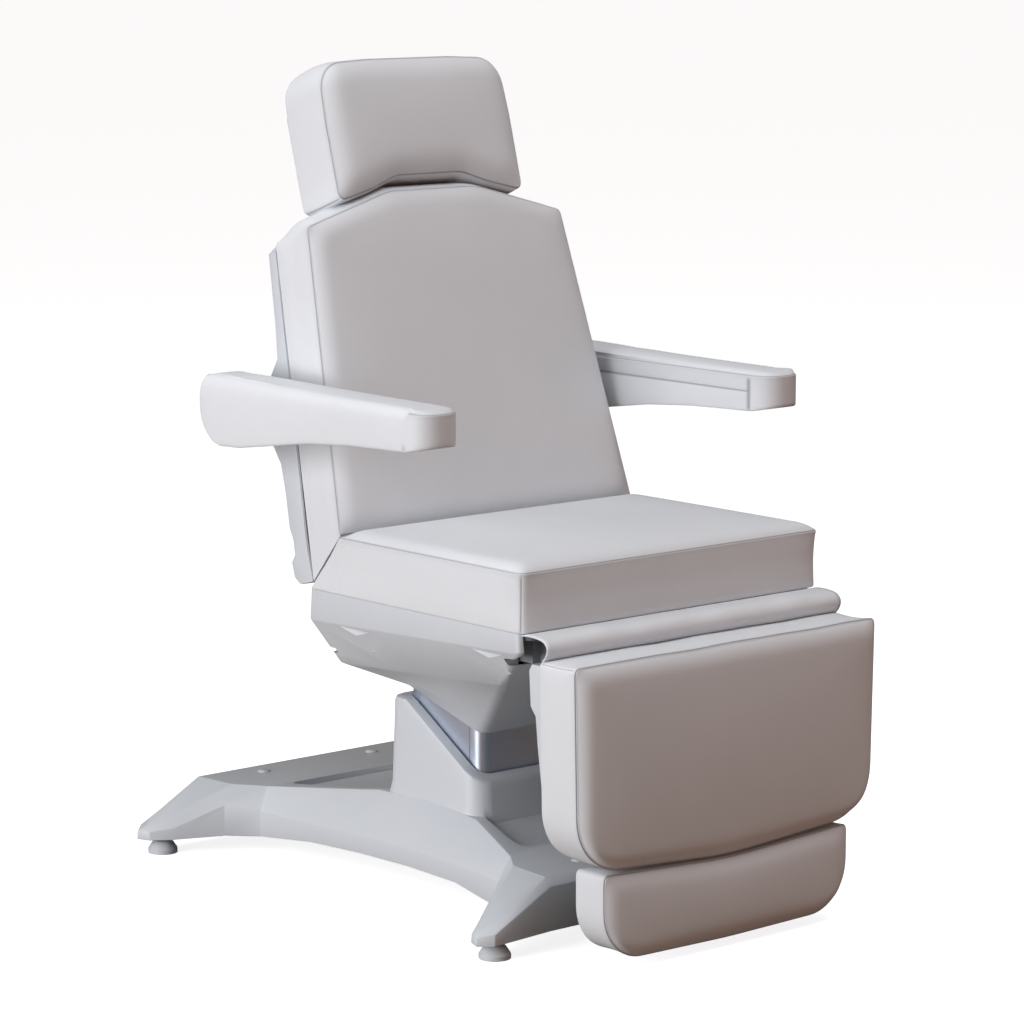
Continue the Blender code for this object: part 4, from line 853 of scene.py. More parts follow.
# A stiff, well damped fabric that only its own inner pressure moves.
CLOTH = {"quality": 4, "mass": 0.3, "tension_stiffness": 25, "compression_stiffness": 25,
         "bending_stiffness": 4, "air_damping": 6, "use_pressure": True,
         "uniform_pressure_force": 4, "vertex_group_mass": PIN_GROUP, "pin_stiffness": 1}
SWELL_FRAMES = 20


def places_of(mesh: bpy.types.Mesh) -> np.ndarray:
    """Read the vertex places of a mesh.

    Args:
        mesh: The mesh.

    Returns:
        The places, by vertex number.
    """
    flat = np.empty(len(mesh.vertices) * 3)
    mesh.vertices.foreach_get("co", flat)
    return flat.reshape(-1, 3)


def swell(covers: Sequence[tuple[Cushion, Object]]) -> None:
    """Blow the covers up against their seams, all in one run.

    Args:
        covers: Each cushion with its cover.
    """
    scene = bpy.context.scene
    for _, cover in covers:
        cloth = cover.modifiers.new("swell", "CLOTH")
        for name, value in CLOTH.items():
            setattr(cloth.settings, name, value)
        cloth.settings.effector_weights.gravity = 0
        cloth.collision_settings.use_collision = False
    for step in range(1, SWELL_FRAMES + 1):
        scene.frame_set(step)
    graph = bpy.context.evaluated_depsgraph_get()
    for cushion, cover in covers:
        before = places_of(cover.data)
        moved = places_of(cover.evaluated_get(graph).data) - before
        far = np.linalg.norm(moved, axis=1)
        LOG.info("%s swells by up to %.1f mm", cushion.name, far.max() * 1000)
        eased = cushion.swell_cap * np.tanh(far / cushion.swell_cap)
        moved *= (eased / np.maximum(far, 1e-9))[:, None]
        cover.modifiers.clear()
        cover.data.vertices.foreach_set("co", (before + moved).ravel())
        cover.data.update()
    scene.frame_set(1)


@dataclass
class Leaning:
    """The back's lean: upright drawing to the chair's frame."""

    angle: float = math.radians(-15.67)
    foot: Point = (0.0, 0.0285, 0.5785)

    def __call__(self, drawn: np.ndarray) -> np.ndarray:
        """Lean points back.

        Args:
            drawn: Points in (x, depth, height).

        Returns:
            Their places on the chair.
        """
        cos, sin = math.cos(self.angle), math.sin(self.angle)
        y = self.foot[1] + cos * drawn[:, 1] - sin * drawn[:, 2]
        z = self.foot[2] + sin * drawn[:, 1] + cos * drawn[:, 2]
        return np.column_stack([drawn[:, 0], y, z])


def mirrored(half: Sequence[Corner]) -> list[Corner]:
    """Corners of a whole outline from its right half."""
    return list(half) + [(-u, v, r) for u, v, r in reversed(half) if u > 0]


@dataclass
class SeatCushion:
    """Seat pad with a mitred rear that meets the back."""

    half: float = 0.3015
    front: float = -0.3925
    rear_top: float = 0.0265
    rear_longer: float = 0.077
    top: float = 0.577
    thick: float = 0.0895
    front_radius: float = 0.016
    rear_radius: float = 0.004
    # Each fold beside the mitre: its two ends in (y, z), its depth and its width.
    folds: tuple[tuple, ...] = (((0.0152, 0.5664), (0.0429, 0.4893), 0.0040, 0.0055),
                                ((0.0575, 0.5060), (0.0515, 0.4890), 0.0034, 0.0045))

    def place(self, drawn: np.ndarray) -> np.ndarray:
        """Take points to the chair, longer towards the pad's foot.

        Args:
            drawn: Points in (x, y, depth).

        Returns:
            Their places on the chair.
        """
        length = self.rear_top - self.front
        longer = self.rear_longer * np.maximum(drawn[:, 2], 0) / self.thick
        y = self.front + (drawn[:, 1] - self.front) * (length + longer) / length
        return np.column_stack([drawn[:, 0], y, self.top - drawn[:, 2]])

    def cushion(self) -> Cushion:
        """Draw the seat's pad, with the folds beside its mitre.

        Returns:
            The cushion.
        """
        corners = [(self.half, self.front, self.front_radius),
                   (self.half, self.rear_top, self.rear_radius)]
        creases = [Crease((side.value * self.half, *start), (side.value * self.half, *end), *size)
                   for side in Side for start, end, *size in self.folds]
        return Cushion("seat_cushion", "seat_pad", "seat", mirrored(corners), (0, 1, 2, 3),
                       self.thick, 0.004, 0.003, self.place, corner_seams=(0, 3),
                       held_sides=(1,), creases=tuple(creases))


@dataclass
class BackCushion:
    """Back pad, narrower at the shoulders, with a wide rounded top."""

    lean: Leaning = field(default_factory=Leaning)
    top: float = 0.5204
    foot_longer: float = 0.0615
    thick: float = 0.090
    half: tuple[Corner, ...] = ((0.2975, 0.0, 0.004), (0.2565, 0.4726, 0.010),
                                (0.087, 0.5204, 0.10))

    def place(self, drawn: np.ndarray) -> np.ndarray:
        """Take points to the chair, longer towards the pad's foot.

        Args:
            drawn: Points in (x, height, depth).

        Returns:
            Their places on the chair.
        """
        longer = self.foot_longer * np.maximum(drawn[:, 2], 0) / self.thick
        height = self.top - (self.top - drawn[:, 1]) * (self.top + longer) / self.top
        return self.lean(np.column_stack([drawn[:, 0], drawn[:, 2], height]))

    def cushion(self) -> Cushion:
        """Return the back's cushion."""
        return Cushion("back_cushion", "back_pad", "backrest", mirrored(self.half), (0, 1, 4, 5),
                       self.thick, 0.004, 0.004, self.place, shoulder_width=0.042,
                       held_sides=(3,), bulge={1: 0.016})


@dataclass
class HeadCushion:
    """Headrest pad: domed, with an arched foot over the back's top."""

    lean: Leaning = field(default_factory=Leaning)
    thick: float = 0.095
    rear_drop: float = 0.006
    drop_below: float = 0.60
    drop_over: float = 0.08
    half: tuple[Corner, ...] = ((0.066, 0.5422, 0.05), (0.115, 0.5245, 0.05),
                                (0.1855, 0.507, 0.012), (0.1865, 0.630, 0.2),
                                (0.1815, 0.724, 0.048), (0.08, 0.729, 0.3))

    def place(self, drawn: np.ndarray) -> np.ndarray:
        """Take points to the chair, the foot lower towards the rear.

        Args:
            drawn: Points in (x, height, depth).

        Returns:
            Their places on the chair.
        """
        low = np.clip((self.drop_below - drawn[:, 1]) / self.drop_over, 0, 1)
        drop = self.rear_drop * low * np.clip(drawn[:, 2] / self.thick, 0, 1)
        return self.lean(np.column_stack([drawn[:, 0], drawn[:, 2], drawn[:, 1] - drop]))

    def cushion(self) -> Cushion:
        """Return the headrest's cushion."""
        return Cushion("headrest_cushion", "headrest_pad", "headrest", mirrored(self.half),
                       (2, 4, 7, 9), self.thick, 0.004, -0.002, self.place, shoulder=0.013,
                       shoulder_width=0.052, bulge={1: 0.004, 3: 0.003}, spacing=0.007,
                       corner_seams=(0, 3))


@dataclass
class LegCushion(Cushion):
    """Legrest pad, whose top seam wanders a little between its corners."""

    wander: Ripple = Ripple(0.0008, (27, 0.6), (49, 2.0), 0.6)
    wander_half: float = 0.29
    wander_fade: float = 0.06

    def shift(self, loop: np.ndarray) -> np.ndarray:
        """Move the top seam up and down by a slow, uneven wave.

        Args:
            loop: The outline.

        Returns:
            The moved outline.
        """
        moved = loop.copy()
        top = slice(self.turns[1], self.turns[2] + 1)
        u = loop[top, 0]
        fade = np.clip((self.wander_half - np.abs(u)) / self.wander_fade, 0, 1)
        moved[top, 1] += fade * self.wander.at(u)
        return moved


@dataclass
class LegCushions:
    """Legrest pad and the pad of the sliding foot extension below it."""

    front: float = -0.5105
    thick: float = 0.080
    half: tuple[Corner, ...] = ((0.0, 0.139, 0.9), (0.297, 0.158, 0.086), (0.303, 0.457, 0.010))
    foot_front: float = -0.5115
    foot_thick: float = 0.064
    foot_half: tuple[Corner, ...] = ((0.0, 0.0145, 1.5), (0.247, 0.0185, 0.076),
                                     (0.247, 0.1485, 0.010), (0.0, 0.1365, 0.9))

    def place(self, drawn: np.ndarray) -> np.ndarray:
        """Take (x, height, depth) of the legrest to the chair."""
        return np.column_stack([drawn[:, 0], self.front + drawn[:, 2], drawn[:, 1]])

    def place_foot(self, drawn: np.ndarray) -> np.ndarray:
        """Take (x, height, depth) of the foot pad to the chair."""
        return np.column_stack([drawn[:, 0], self.foot_front + drawn[:, 2], drawn[:, 1]])

    def cushions(self) -> list[Cushion]:
        """Draw both pads.

        Returns:
            The legrest's and the foot extension's cushions.
        """
        legrest = LegCushion("legrest_cushion", "legrest_pad", "legrest", mirrored(self.half),
                             (1, 2, 3, 4), self.thick, 0.005, 0.004, self.place,
                             shoulder=0.0125, bulge={3: 0.003}, corner_seams=(1, 2))
        foot = Cushion("foot_cushion", "foot_pad", "foot_extension", mirrored(self.foot_half),
                       (1, 2, 4, 5), self.foot_thick, 0.004, 0.002, self.place_foot,
                       shoulder=0.008, bulge={1: 0.003}, held_sides=(1,), swell_cap=0.0012)
        return [legrest, foot]


@dataclass
class ArmCushion(Cushion):
    """Armrest pad, drawn in plan: a seam inside and round the nose, a soft edge outside."""

    place: Place = field(init=False)
    inner: float = 0.303
    outer: float = 0.385
    front: float = -0.2735
    rear: float = 0.2705
    top: float = 0.798
    rear_radius: float = 0.060
    side: Side = Side.LEFT
    inside_to: float = 0.33
    cap_seam_y: float = -0.2335
    middle_seam_z: float = 0.772
    seam_half: float = 0.0018
    rear_round: float = 0.005
    soft_radius: float = 0.017
    underside: tuple[tuple[float, float], ...] = (
        (-0.2735, 0.749), (-0.235, 0.741), (-0.10, 0.7365), (0.0, 0.7285), (0.10, 0.714),
        (0.17, 0.704), (0.2705, 0.702))

    def __post_init__(self) -> None:
        """Draw the outline, and take it to the chair by the arm's own curves."""
        self.corners = [(self.outer, self.front, 0.036), (self.outer, self.rear, 0.012),
                        (self.inner, self.rear, 0.010), (self.inner, self.front, 0.036)]
        self.place = self.to_chair

    def bottom(self, y: np.ndarray | float) -> np.ndarray:
        """Height of the underside along the arm."""
        return np.interp(y, *zip(*self.underside))

    def to_chair(self, drawn: np.ndarray) -> np.ndarray:
        """Take points to the chair: a curved underside and a rounded rear foot.

        Args:
            drawn: Points in (x, y, depth).

        Returns:
            Their places on the chair.
        """
        y, radius = drawn[:, 1], self.rear_radius
        z = self.top - drawn[:, 2] / self.thick * (self.top - self.bottom(y))
        drop = np.clip((self.bottom(self.rear) + radius - z) / radius, 0, 1)
        short = radius * (1 - np.sqrt(1 - drop ** 2))
        start = self.rear - 1.4 * radius
        share = np.clip((y - start) / (self.rear - start), 0, 1)
        return np.column_stack([drawn[:, 0] * self.side.value, y - short * share, z])

    def edge_of(self, loop: np.ndarray) -> tuple[np.ndarray, np.ndarray]:
        """Sew the inside and the nose, and leave the outside and the rear soft.

        Args:
            loop: The outline.

        Returns:
            Edge radius, and 1 where it is sewn, at each point of the outline.
        """
        inside = np.clip((self.inside_to - loop[:, 0]) / 0.01, 0, 1)
        inside *= np.clip((self.rear - 0.004 - loop[:, 1]) / 0.006, 0, 1)
        nose = np.clip((self.cap_seam_y - loop[:, 1]) / 0.006, 0, 1)
        sewn = np.maximum(inside, nose)
        radius = self.soft_radius + (self.edge_radius - self.soft_radius) * sewn
        return radius, (sewn > 0.98).astype(float)

    def edges_of(self) -> tuple[Edge, Edge, Edge, Edge]:
        """Sewn at the nose and inside, soft at the rear and outside."""
        return (Edge.SEWN, Edge.SOFT, Edge.SOFT, Edge.SEWN)

    def rows_of(self, radius: np.ndarray, loop: np.ndarray) -> list[np.ndarray]:
        """Space the rows so that they follow the middle seam of the inside.

        Args:
            radius: Edge radius at each point of the outline.
            loop: The outline.

        Returns:
            Depth of each row at each point of the outline.
        """
        tall = self.top - self.bottom(loop[:, 1])
        seam = (self.top - self.middle_seam_z) / tall * self.thick
        low, gap = self.thick - self.rear_round, self.seam_half
        upper = [radius + (seam - gap - radius) * k / 3 for k in (1, 2, 3)]
        lower = [seam + gap + (low - seam - gap) * k / 5 for k in range(6)]
        return upper + [seam] + lower

    def boxing_seams(self, loop: np.ndarray, rows: int) -> np.ndarray:
        """Mark the middle seam of the inside, and the upright seam of the nose's cap, for their
        groove, pins and painted shade.

        Args:
            loop: The outline.
            rows: Number of rows in the boxing.

        Returns:
            1 on a seam (its share of painted shade), by row and outline point.
        """
        mark = np.zeros((rows, len(loop)))
        within, without = loop[:, 0] < self.inner + 0.002, loop[:, 0] > self.outer - 0.002
        mark[3, within & (loop[:, 1] > self.cap_seam_y - 0.001)] = 1.0
        gap = np.abs(loop[:, 1] - self.cap_seam_y)
        mark[:, np.where(within, gap, np.inf).argmin()] = 1.0
        # Low on the outside, the cap's seam gets part of the painted shade and part of the groove.
        mark[-2:, np.where(without, gap, np.inf).argmin()] = (0.3, 0.6)
        return mark


def arm_cushions() -> list[Cushion]:
    """Draw the armrests, one as the other's mirror image.

    Returns:
        Both cushions.
    """
    made = []
    for side in Side:
        word = side.name.lower()
        made.append(ArmCushion(f"armrest_cushion_{word}", f"armrest_pad_{word}", f"armrest_{word}",
                               (), (0, 1, 2, 3), 0.070, 0.0015, 0.0, shoulder=0.0075,
                               shoulder_width=0.024, spacing=0.0065, swell_cap=0.002, side=side))
    return made


@dataclass
class Flap:
    """Leatherette flap that bridges the seat and the legrest in a loose loop."""

    half: float = 0.296
    thick: float = 0.0020
    path: tuple[tuple[float, float], ...] = (
        (-0.3862, 0.4840), (-0.3945, 0.4858), (-0.4160, 0.4860), (-0.4330, 0.4832),
        (-0.4408, 0.4765), (-0.4415, 0.4690), (-0.4375, 0.4610), (-0.4310, 0.4545))
    wave: Ripple = Ripple(0.0016, (47, 1.1), (83, 0.3), 0.7)
    points_along: int = 25
    points_across: int = 75

    def smooth_path(self) -> np.ndarray:
        """Run a smooth curve through the path's points.

        Returns:
            Points of the curve.
        """
        given = np.array(self.path)
        knots = np.vstack([2 * given[0] - given[1], given, 2 * given[-1] - given[-2]])
        out = []
        for share in np.linspace(0, len(given) - 1 - 1e-9, self.points_along):
            k, t = int(share), share - int(share)
            p0, p1, p2, p3 = knots[k:k + 4]
            out.append(0.5 * (2 * p1 + (p2 - p0) * t + (2 * p0 - 5 * p1 + 4 * p2 - p3) * t ** 2
                              + (3 * p1 - p0 - 3 * p2 + p3) * t ** 3))
        return np.array(out)

    def faces(self) -> list[tuple[int, ...]]:
        """Join the two skins of the sheet round its edges.

        Returns:
            Vertex numbers of each face.
        """
        rows, columns = self.points_across, self.points_along
        size = rows * columns
        faces = []
        for a in range(rows - 1):
            for k in range(a * columns, a * columns + columns - 1):
                faces.append((k, k + 1, k + columns + 1, k + columns))
                faces.append((size + k, size + k + columns, size + k + columns + 1, size + k + 1))
        for a in range(rows - 1):
            for k in (a * columns, a * columns + columns - 1):
                faces.append((k, k + columns, size + k + columns, size + k))
        for b in range(columns - 1):
            for k in (b, (rows - 1) * columns + b):
                faces.append((k, k + 1, size + k + 1, size + k))
        return faces

    def build(self) -> Object:
        """Make the waved sheet with its thickness.

        Returns:
            The flap, blended across the legrest's hinge.
        """
        line = self.smooth_path()
        run = run_of(line)
        along = np.gradient(line, axis=0)
        along /= np.linalg.norm(along, axis=1)[:, None]
        out = np.column_stack([-along[:, 1], along[:, 0]])
        free = np.sin(np.pi * np.clip(run / run[-1], 0, 1)) ** 1.5
        points = []
        for skin in (0.0, self.thick):
            for x in np.linspace(-self.half, self.half, self.points_across):
                flat = line + out * (free * self.wave.at(x) - skin)[:, None]
                points.extend((x, y, z) for y, z in flat)
        flap = add_mesh("flap", np.array(points), self.faces())
        flap.data.materials.append(LEATHERETTE.material())
        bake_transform(flap)
        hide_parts("legrest_flap")
        LOG.info("flap stands for legrest_flap between seat and legrest")
        return flap


def new_recipe(name: str, sizes: dict[str, float]) -> tuple[NodeTree, Node]:
    """Start a geometry tree that takes a mesh and some sizes.

    Args:
        name: Name of the tree.
        sizes: Usual values of its inputs.

    Returns:
        The tree, and the node that holds its inputs.
    """
    tree = bpy.data.node_groups.new(name, "GeometryNodeTree")
    face = tree.interface
    face.new_socket("Geometry", in_out="INPUT", socket_type="NodeSocketGeometry")
    for size, value in sizes.items():
        socket = face.new_socket(size, in_out="INPUT", socket_type="NodeSocketFloat")
        socket.default_value = value
    face.new_socket("Geometry", in_out="OUTPUT", socket_type="NodeSocketGeometry")
    return tree, add_node(tree, "NodeGroupInput")


def end_recipe(tree: NodeTree, copies: Node, finish: Finish) -> None:
    """Hand out the copies that a tree has set, as a plain mesh with a finish.

    Args:
        tree: The tree.
        copies: Node that sets them.
        finish: Their finish.
    """
    real = add_node(tree, "GeometryNodeRealizeInstances", {"Geometry": copies.outputs[0]})
    done = add_node(tree, "GeometryNodeSetMaterial",
                    {"Geometry": real.outputs[0], "Material": finish.material()})
    add_node(tree, "NodeGroupOutput", {0: done.outputs[0]})


def times(tree: NodeTree, size: NodeSocket, factor: float) -> NodeSocket:
    """Return a size times a factor."""
    node = add_node(tree, "ShaderNodeMath", {0: size, 1: factor}, operation="MULTIPLY")
    return node.outputs[0]


def realised(guide: Object, tree: NodeTree, name: str) -> Object:
    """Run a tree on a guide object and keep the result as a plain mesh.

    Args:
        guide: Object that carries the tree's input, removed afterwards.
        tree: The tree.
        name: Name of the finished piece.

    Returns:
        The finished piece.
    """
    guide.modifiers.new("make", "NODES").node_group = tree
    bpy.context.view_layer.update()
    shown = guide.evaluated_get(bpy.context.evaluated_depsgraph_get())
    mesh = bpy.data.meshes.new_from_object(shown)
    guide.modifiers.clear()
    old = guide.data
    bpy.data.objects.remove(guide)
    bpy.data.meshes.remove(old)
    mesh.name = name
    return add_object(name, mesh)


@dataclass
class Stitching:
    """Lock stitches that lie in the seams, made along the seam lines."""

    pitch: float = 0.0045
    length: float = 0.0032
    thread: float = 0.0005
    longest_gap: float = 0.03

    @cached_property
    def tree(self) -> NodeTree:
        """Make the tree that lays stitches along lines.

        Returns:
            The tree.
        """
        sizes = {"Pitch": self.pitch, "Length": self.length, "Thread": self.thread}
        tree, given = new_recipe("seam_stitches", sizes)
        path = add_node(tree, "GeometryNodeMeshToCurve", {"Mesh": given.outputs["Geometry"]})
        places = add_node(tree, "GeometryNodeCurveToPoints",
                          {"Curve": path.outputs[0], "Length": given.outputs["Pitch"]},
                          mode="LENGTH")
        thread = given.outputs["Thread"]
        size = add_node(tree, "ShaderNodeCombineXYZ", {
            "X": thread, "Y": thread, "Z": times(tree, given.outputs["Length"], 0.5)})
        stitch = add_node(tree, "GeometryNodeMeshUVSphere",
                          {"Segments": 6, "Rings": 4, "Radius": 1.0})
        copies = add_node(tree, "GeometryNodeInstanceOnPoints", {
            "Points": places.outputs["Points"], "Instance": stitch.outputs["Mesh"],
            "Rotation": places.outputs["Rotation"], "Scale": size.outputs[0]})
        end_recipe(tree, copies, THREAD)
        return tree

    def sew(self, name: str, body: str, lines: Sequence[np.ndarray]) -> None:
        """Lay stitches along seam lines.

        Args:
            name: Name of the piece.
            body: Body that carries it.
            lines: Points of each closed seam line.
        """
        edges, start = [], 0
        for line in lines:
            gaps = np.linalg.norm(line - np.roll(line, -1, axis=0), axis=1)
            edges.extend((start + k, start + (k + 1) % len(line))
                         for k in range(len(line)) if gaps[k] < self.longest_gap)
            start += len(line)
        mesh = bpy.data.meshes.new(name + "_lines")
        mesh.from_pydata([tuple(p) for p in np.vstack(lines)], edges, [])
        made = realised(add_object(name + "_lines", mesh), self.tree, name)
        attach(made, body)
        LOG.info("%s rides on %s", name, body)


@dataclass
class MouldedEdges:
    """Rounded edges and smooth curves on the moulded covers."""

    round_over: float = 0.0016
    angle: float = math.radians(32)
    same_place: float = 0.00002
    # The finger pockets of this cover end in edges too thin to round.
    thin_edged: tuple[str, ...] = ("seat_under_cover",)

    @cached_property
    def tree(self) -> NodeTree:
        """Make the tree that joins facets and smooths them.

        Returns:
            The tree.
        """
        tree, given = new_recipe("smooth_facets", {"Angle": self.angle})
        whole = add_node(tree, "GeometryNodeMergeByDistance", {
            "Geometry": given.outputs["Geometry"], "Distance": self.same_place})
        turn = add_node(tree, "GeometryNodeInputMeshEdgeAngle")
        sharp = add_node(tree, "FunctionNodeCompare",
                         {0: turn.outputs["Unsigned Angle"], 1: given.outputs["Angle"]},
                         operation="GREATER_THAN")
        faces = add_node(tree, "GeometryNodeSetShadeSmooth", {"Geometry": whole.outputs[0]},
                         domain="FACE")
        edges = add_node(tree, "GeometryNodeSetShadeSmooth",
                         {"Geometry": faces.outputs[0], "Selection": sharp.outputs[0],
                          "Shade Smooth": False}, domain="EDGE")
        add_node(tree, "NodeGroupOutput", {0: edges.outputs[0]})
        return tree

    def soften(self, node: Object, rounded: bool) -> None:
        """Smooth a solid's facets and, where asked, round its edges.

        Args:
            node: The solid.
            rounded: True to round the sharp edges too.
        """
        node.modifiers.new("smooth_facets", "NODES").node_group = self.tree
        if rounded:
            edge = node.modifiers.new("round_over", "BEVEL")
            edge.width = self.round_over
            edge.segments = 2
            edge.limit_method = "ANGLE"
            edge.angle_limit = self.angle
            edge.harden_normals = True


def dress_nodes() -> None:
    """Give each rigid solid the finish of its slot, and softer edges to the moulded ones."""
    slot_of = {part.get("node", part.get("name")): part.get("material_slot")
               for part in frame["record"]["subparts"]}
    edges = MouldedEdges()
    for name, node in frame["nodes"].items():
        slot = slot_of.get(name)
        finish = SLOT_FINISH.get(slot, MOULDED_ABS)
        for place in node.material_slots:
            place.material = finish.material()
        if slot != "upholstery":
            edges.soften(node, slot == "moulding" and name not in edges.thin_edged)
        LOG.info("%s wears %s", name, finish.name)


@dataclass
class CoverScrews:
    """Pan-head screws that hold the shells from behind, set in mirrored pairs."""

    head: float = 0.0045
    height: float = 0.0022
    top_share: float = 0.78
    slot_long: float = 1.05
    slot_wide: float = 0.26
    stands_out: float = 0.3
    behind: float = 0.4
    lean: Leaning = field(default_factory=Leaning)
    # Half the distance and the height of each pair.
    back_pairs: tuple[tuple[float, float], ...] = ((0.19, 0.10), (0.18, 0.27), (0.17, 0.42))
    head_pairs: tuple[tuple[float, float], ...] = ((0.12, 0.585), (0.12, 0.68))
    leg_pairs: tuple[tuple[float, float], ...] = ((0.2, 0.40), (0.2, 0.24))

    @cached_property
    def tree(self) -> NodeTree:
        """Make the tree that sets a cross-slotted screw head on each point.

        Returns:
            The tree.
        """
        tree, given = new_recipe("cover_screws", {"Head": self.head, "Height": self.height})
        head, height = given.outputs["Head"], given.outputs["Height"]
        facing = add_node(tree, "GeometryNodeInputNamedAttribute", {"Name": "facing"},
                          data_type="FLOAT_VECTOR")
        turn = add_node(tree, "FunctionNodeAlignRotationToVector", {"Vector": facing.outputs[0]},
                        axis="Z")
        places = add_node(tree, "GeometryNodeMeshToPoints", {"Mesh": given.outputs["Geometry"]})
        disc = add_node(tree, "GeometryNodeMeshCone", {
            "Vertices": 20, "Side Segments": 1, "Fill Segments": 1, "Depth": height,
            "Radius Top": times(tree, head, self.top_share), "Radius Bottom": head})
        cross = add_node(tree, "GeometryNodeMeshBoolean", {"Mesh 1": disc.outputs["Mesh"]},
                         operation="DIFFERENCE")
        slot, thin = (times(tree, head, share) for share in (self.slot_long, self.slot_wide))
        up = add_node(tree, "ShaderNodeCombineXYZ", {"Z": height})
        for x, y in ((slot, thin), (thin, slot)):
            size = add_node(tree, "ShaderNodeCombineXYZ", {"X": x, "Y": y, "Z": height})
            bar = add_node(tree, "GeometryNodeMeshCube", {"Size": size.outputs[0]})
            moved = add_node(tree, "GeometryNodeTransform", {
                "Geometry": bar.outputs[0], "Translation": up.outputs[0]})
            tree.links.new(moved.outputs[0], cross.inputs["Mesh 2"])
        copies = add_node(tree, "GeometryNodeInstanceOnPoints", {
            "Points": places.outputs[0], "Instance": cross.outputs["Mesh"],
            "Rotation": turn.outputs[0]})
        end_recipe(tree, copies, ZINC)
        return tree

    def drive(self, body: str, node: str, starts: np.ndarray, inward: np.ndarray) -> None:
        """Set screws where lines from behind meet a shell.

        Args:
            body: Body that carries them.
            node: The shell.
            starts: Points behind the shell.
            inward: Direction towards it.
        """
        name = node + "_screws"
        shell = frame["nodes"][node].data
        surface = BVHTree.FromPolygons([v.co for v in shell.vertices],
                                       [p.vertices for p in shell.polygons])
        hits = [surface.ray_cast(Vector(start), Vector(inward)) for start in starts]
        found = [(hit[0] + hit[1] * self.height * self.stands_out, hit[1])
                 for hit in hits if hit[0] is not None]
        mesh = bpy.data.meshes.new(name + "_places")
        mesh.from_pydata([tuple(place) for place, _ in found], [], [])
        facing = mesh.attributes.new("facing", "FLOAT_VECTOR", "POINT")
        facing.data.foreach_set("vector", [c for _, normal in found for c in normal])
        made = realised(add_object(name + "_places", mesh), self.tree, name)
        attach(made, body)
        LOG.info("%s: %d screws on %s", name, len(found), node)

    @staticmethod
    def pairs(depth: float, rows: Sequence[tuple[float, float]]) -> np.ndarray:
        """Places (x, depth, height) of mirrored pairs."""
        return np.array([(sign * half, depth, height) for half, height in rows for sign in (-1, 1)])

    def build(self) -> None:
        """Drive the screws of the back's, the headrest's and the legrest's shells."""
        forward = np.array((0.0, -1.0, 0.0))
        leant = self.lean(forward[None])[0] - self.lean(np.zeros((1, 3)))[0]
        for body, node, rows in (("backrest", "back_shell", self.back_pairs),
                                 ("headrest", "headrest_shell", self.head_pairs)):
            self.drive(body, node, self.lean(self.pairs(self.behind, rows)), leant)
        self.drive("legrest", "legrest_shell", self.pairs(0.0, self.leg_pairs), forward)


class Lamp(NamedTuple):
    """A square soft light: its name, place, side, power in watts and sRGB colour."""

    name: str
    place: Point
    size: float
    power: float
    colour: str


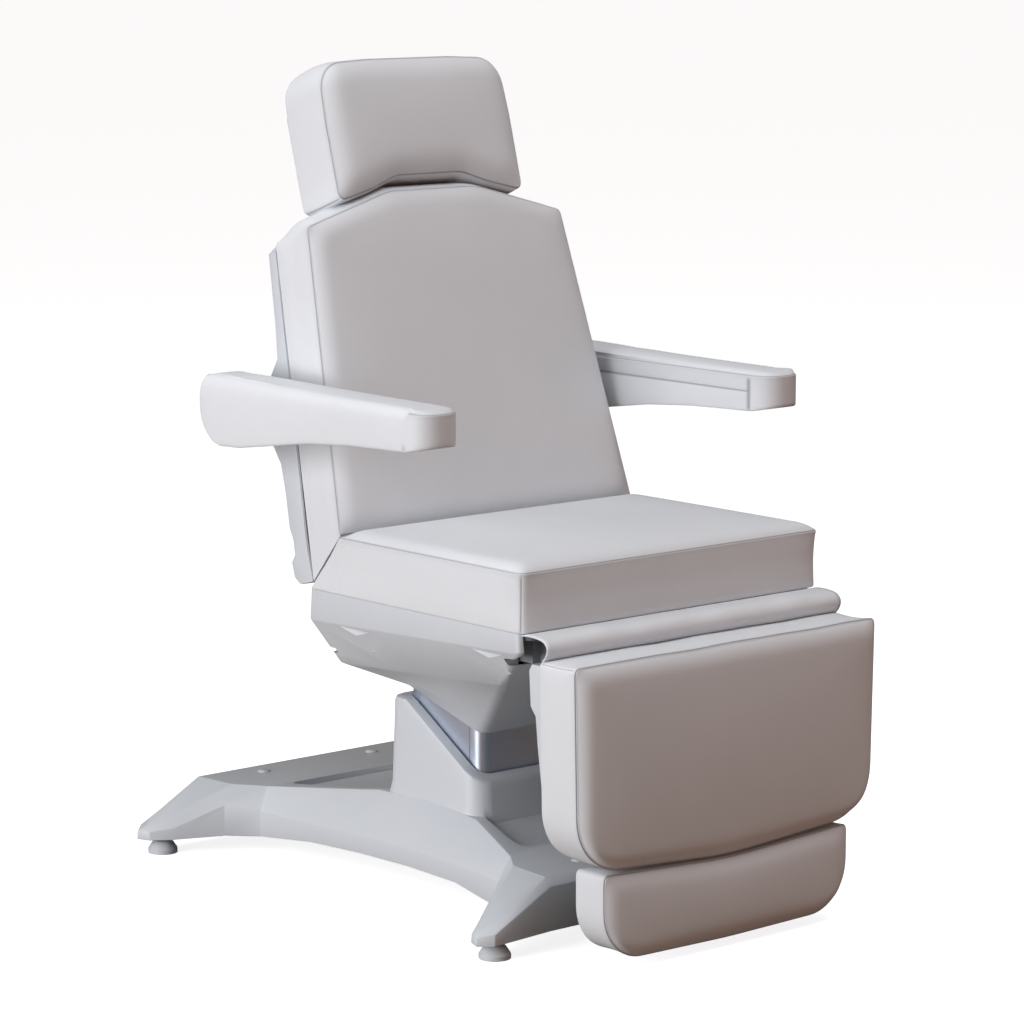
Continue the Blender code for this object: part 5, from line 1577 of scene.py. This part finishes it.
@dataclass
class Studio:
    """Pale floor, soft lights and the camera."""

    eye: Point = (-3.8171, -4.4622, 1.5302)
    right: Point = (0.7583, -0.6519, 0.0)
    up: Point = (0.1034, 0.1203, 0.9873)
    back: Point = (-0.6437, -0.7487, 0.1586)
    lens: float = 134.97
    sensor: float = 36.0
    sight: float = 200.0
    aim: Point = (0.0, -0.05, 0.55)
    # A key light and a low fill at the left, soft ones above and a weak warm one in front.
    lamps: tuple[Lamp, ...] = (Lamp("key", (-6.0, 0.2, 1.9), 3.8, 260, "#FBFAFD"),
                               Lamp("above", (-0.6, 0.8, 5.0), 4.0, 46, "#FFFFFF"),
                               Lamp("high_front", (0.2, -1.9, 4.9), 2.2, 92, "#FCFCFF"),
                               Lamp("low_front", (1.4, -3.6, 0.45), 2.0, 10.5, "#FF8C50"),
                               Lamp("low_left", (-4.2, 0.3, 0.30), 1.0, 33, "#FBFAFD"))
    sky: str = "#F6E9DE"
    sky_strength: float = 0.15
    floor_half: float = 80.0

    def camera(self) -> None:
        """Set the camera at the photograph's place."""
        data = bpy.data.cameras.new("camera")
        data.lens = self.lens
        data.sensor_width = self.sensor
        data.clip_end = self.sight
        camera = add_object("camera", data)
        turn = Matrix((self.right, self.up, self.back)).transposed().to_4x4()
        camera.matrix_world = Matrix.Translation(self.eye) @ turn
        bpy.context.scene.camera = camera

    def hang(self, lamp: Lamp) -> None:
        """Hang a light that faces the chair.

        Args:
            lamp: The light.
        """
        data = bpy.data.lights.new(lamp.name, "AREA")
        data.size = lamp.size
        data.energy = lamp.power
        data.color = linear(lamp.colour)[:3]
        turn = (Vector(self.aim) - Vector(lamp.place)).to_track_quat("-Z", "Y")
        hung = add_object(lamp.name, data)
        hung.matrix_world = Matrix.Translation(lamp.place) @ turn.to_matrix().to_4x4()

    def light(self) -> None:
        """Hang the lights, under a weak warm sky."""
        for lamp in self.lamps:
            self.hang(lamp)
        world = bpy.data.worlds.new("studio")
        world.use_nodes = True
        sky = world.node_tree.nodes["Background"].inputs
        sky["Color"].default_value = linear(self.sky)
        sky["Strength"].default_value = self.sky_strength
        bpy.context.scene.world = world
        bpy.context.scene.view_settings.view_transform = "Standard"

    def floor(self) -> None:
        """Lay a pale floor that reaches past the view."""
        corners = [(x, y, 0) for x, y in ((-1, -1), (1, -1), (1, 1), (-1, 1))]
        floor = add_mesh("floor", np.array(corners) * self.floor_half, [(0, 1, 2, 3)])
        floor.data.materials.append(PAPER.material())


def main() -> None:
    """Build the pieces in order, then the stage."""
    logging.basicConfig(level=logging.INFO, format="%(message)s")
    studio = Studio()
    studio.camera()
    cushions = [SeatCushion().cushion(), BackCushion().cushion(), HeadCushion().cushion(),
                *LegCushions().cushions(), *arm_cushions()]
    covers = [(cushion, cushion.build()) for cushion in cushions]
    swell(covers)
    stitching = Stitching()
    for cushion, cover in covers:
        cushion.dress(cover)
        stitching.sew(cushion.name.replace("cushion", "stitches"), cushion.body,
                      cushion.seam_lines)
    Flap().build()
    dress_nodes()
    CoverScrews().build()
    studio.light()
    studio.floor()


if __name__ == "__main__":
    main()
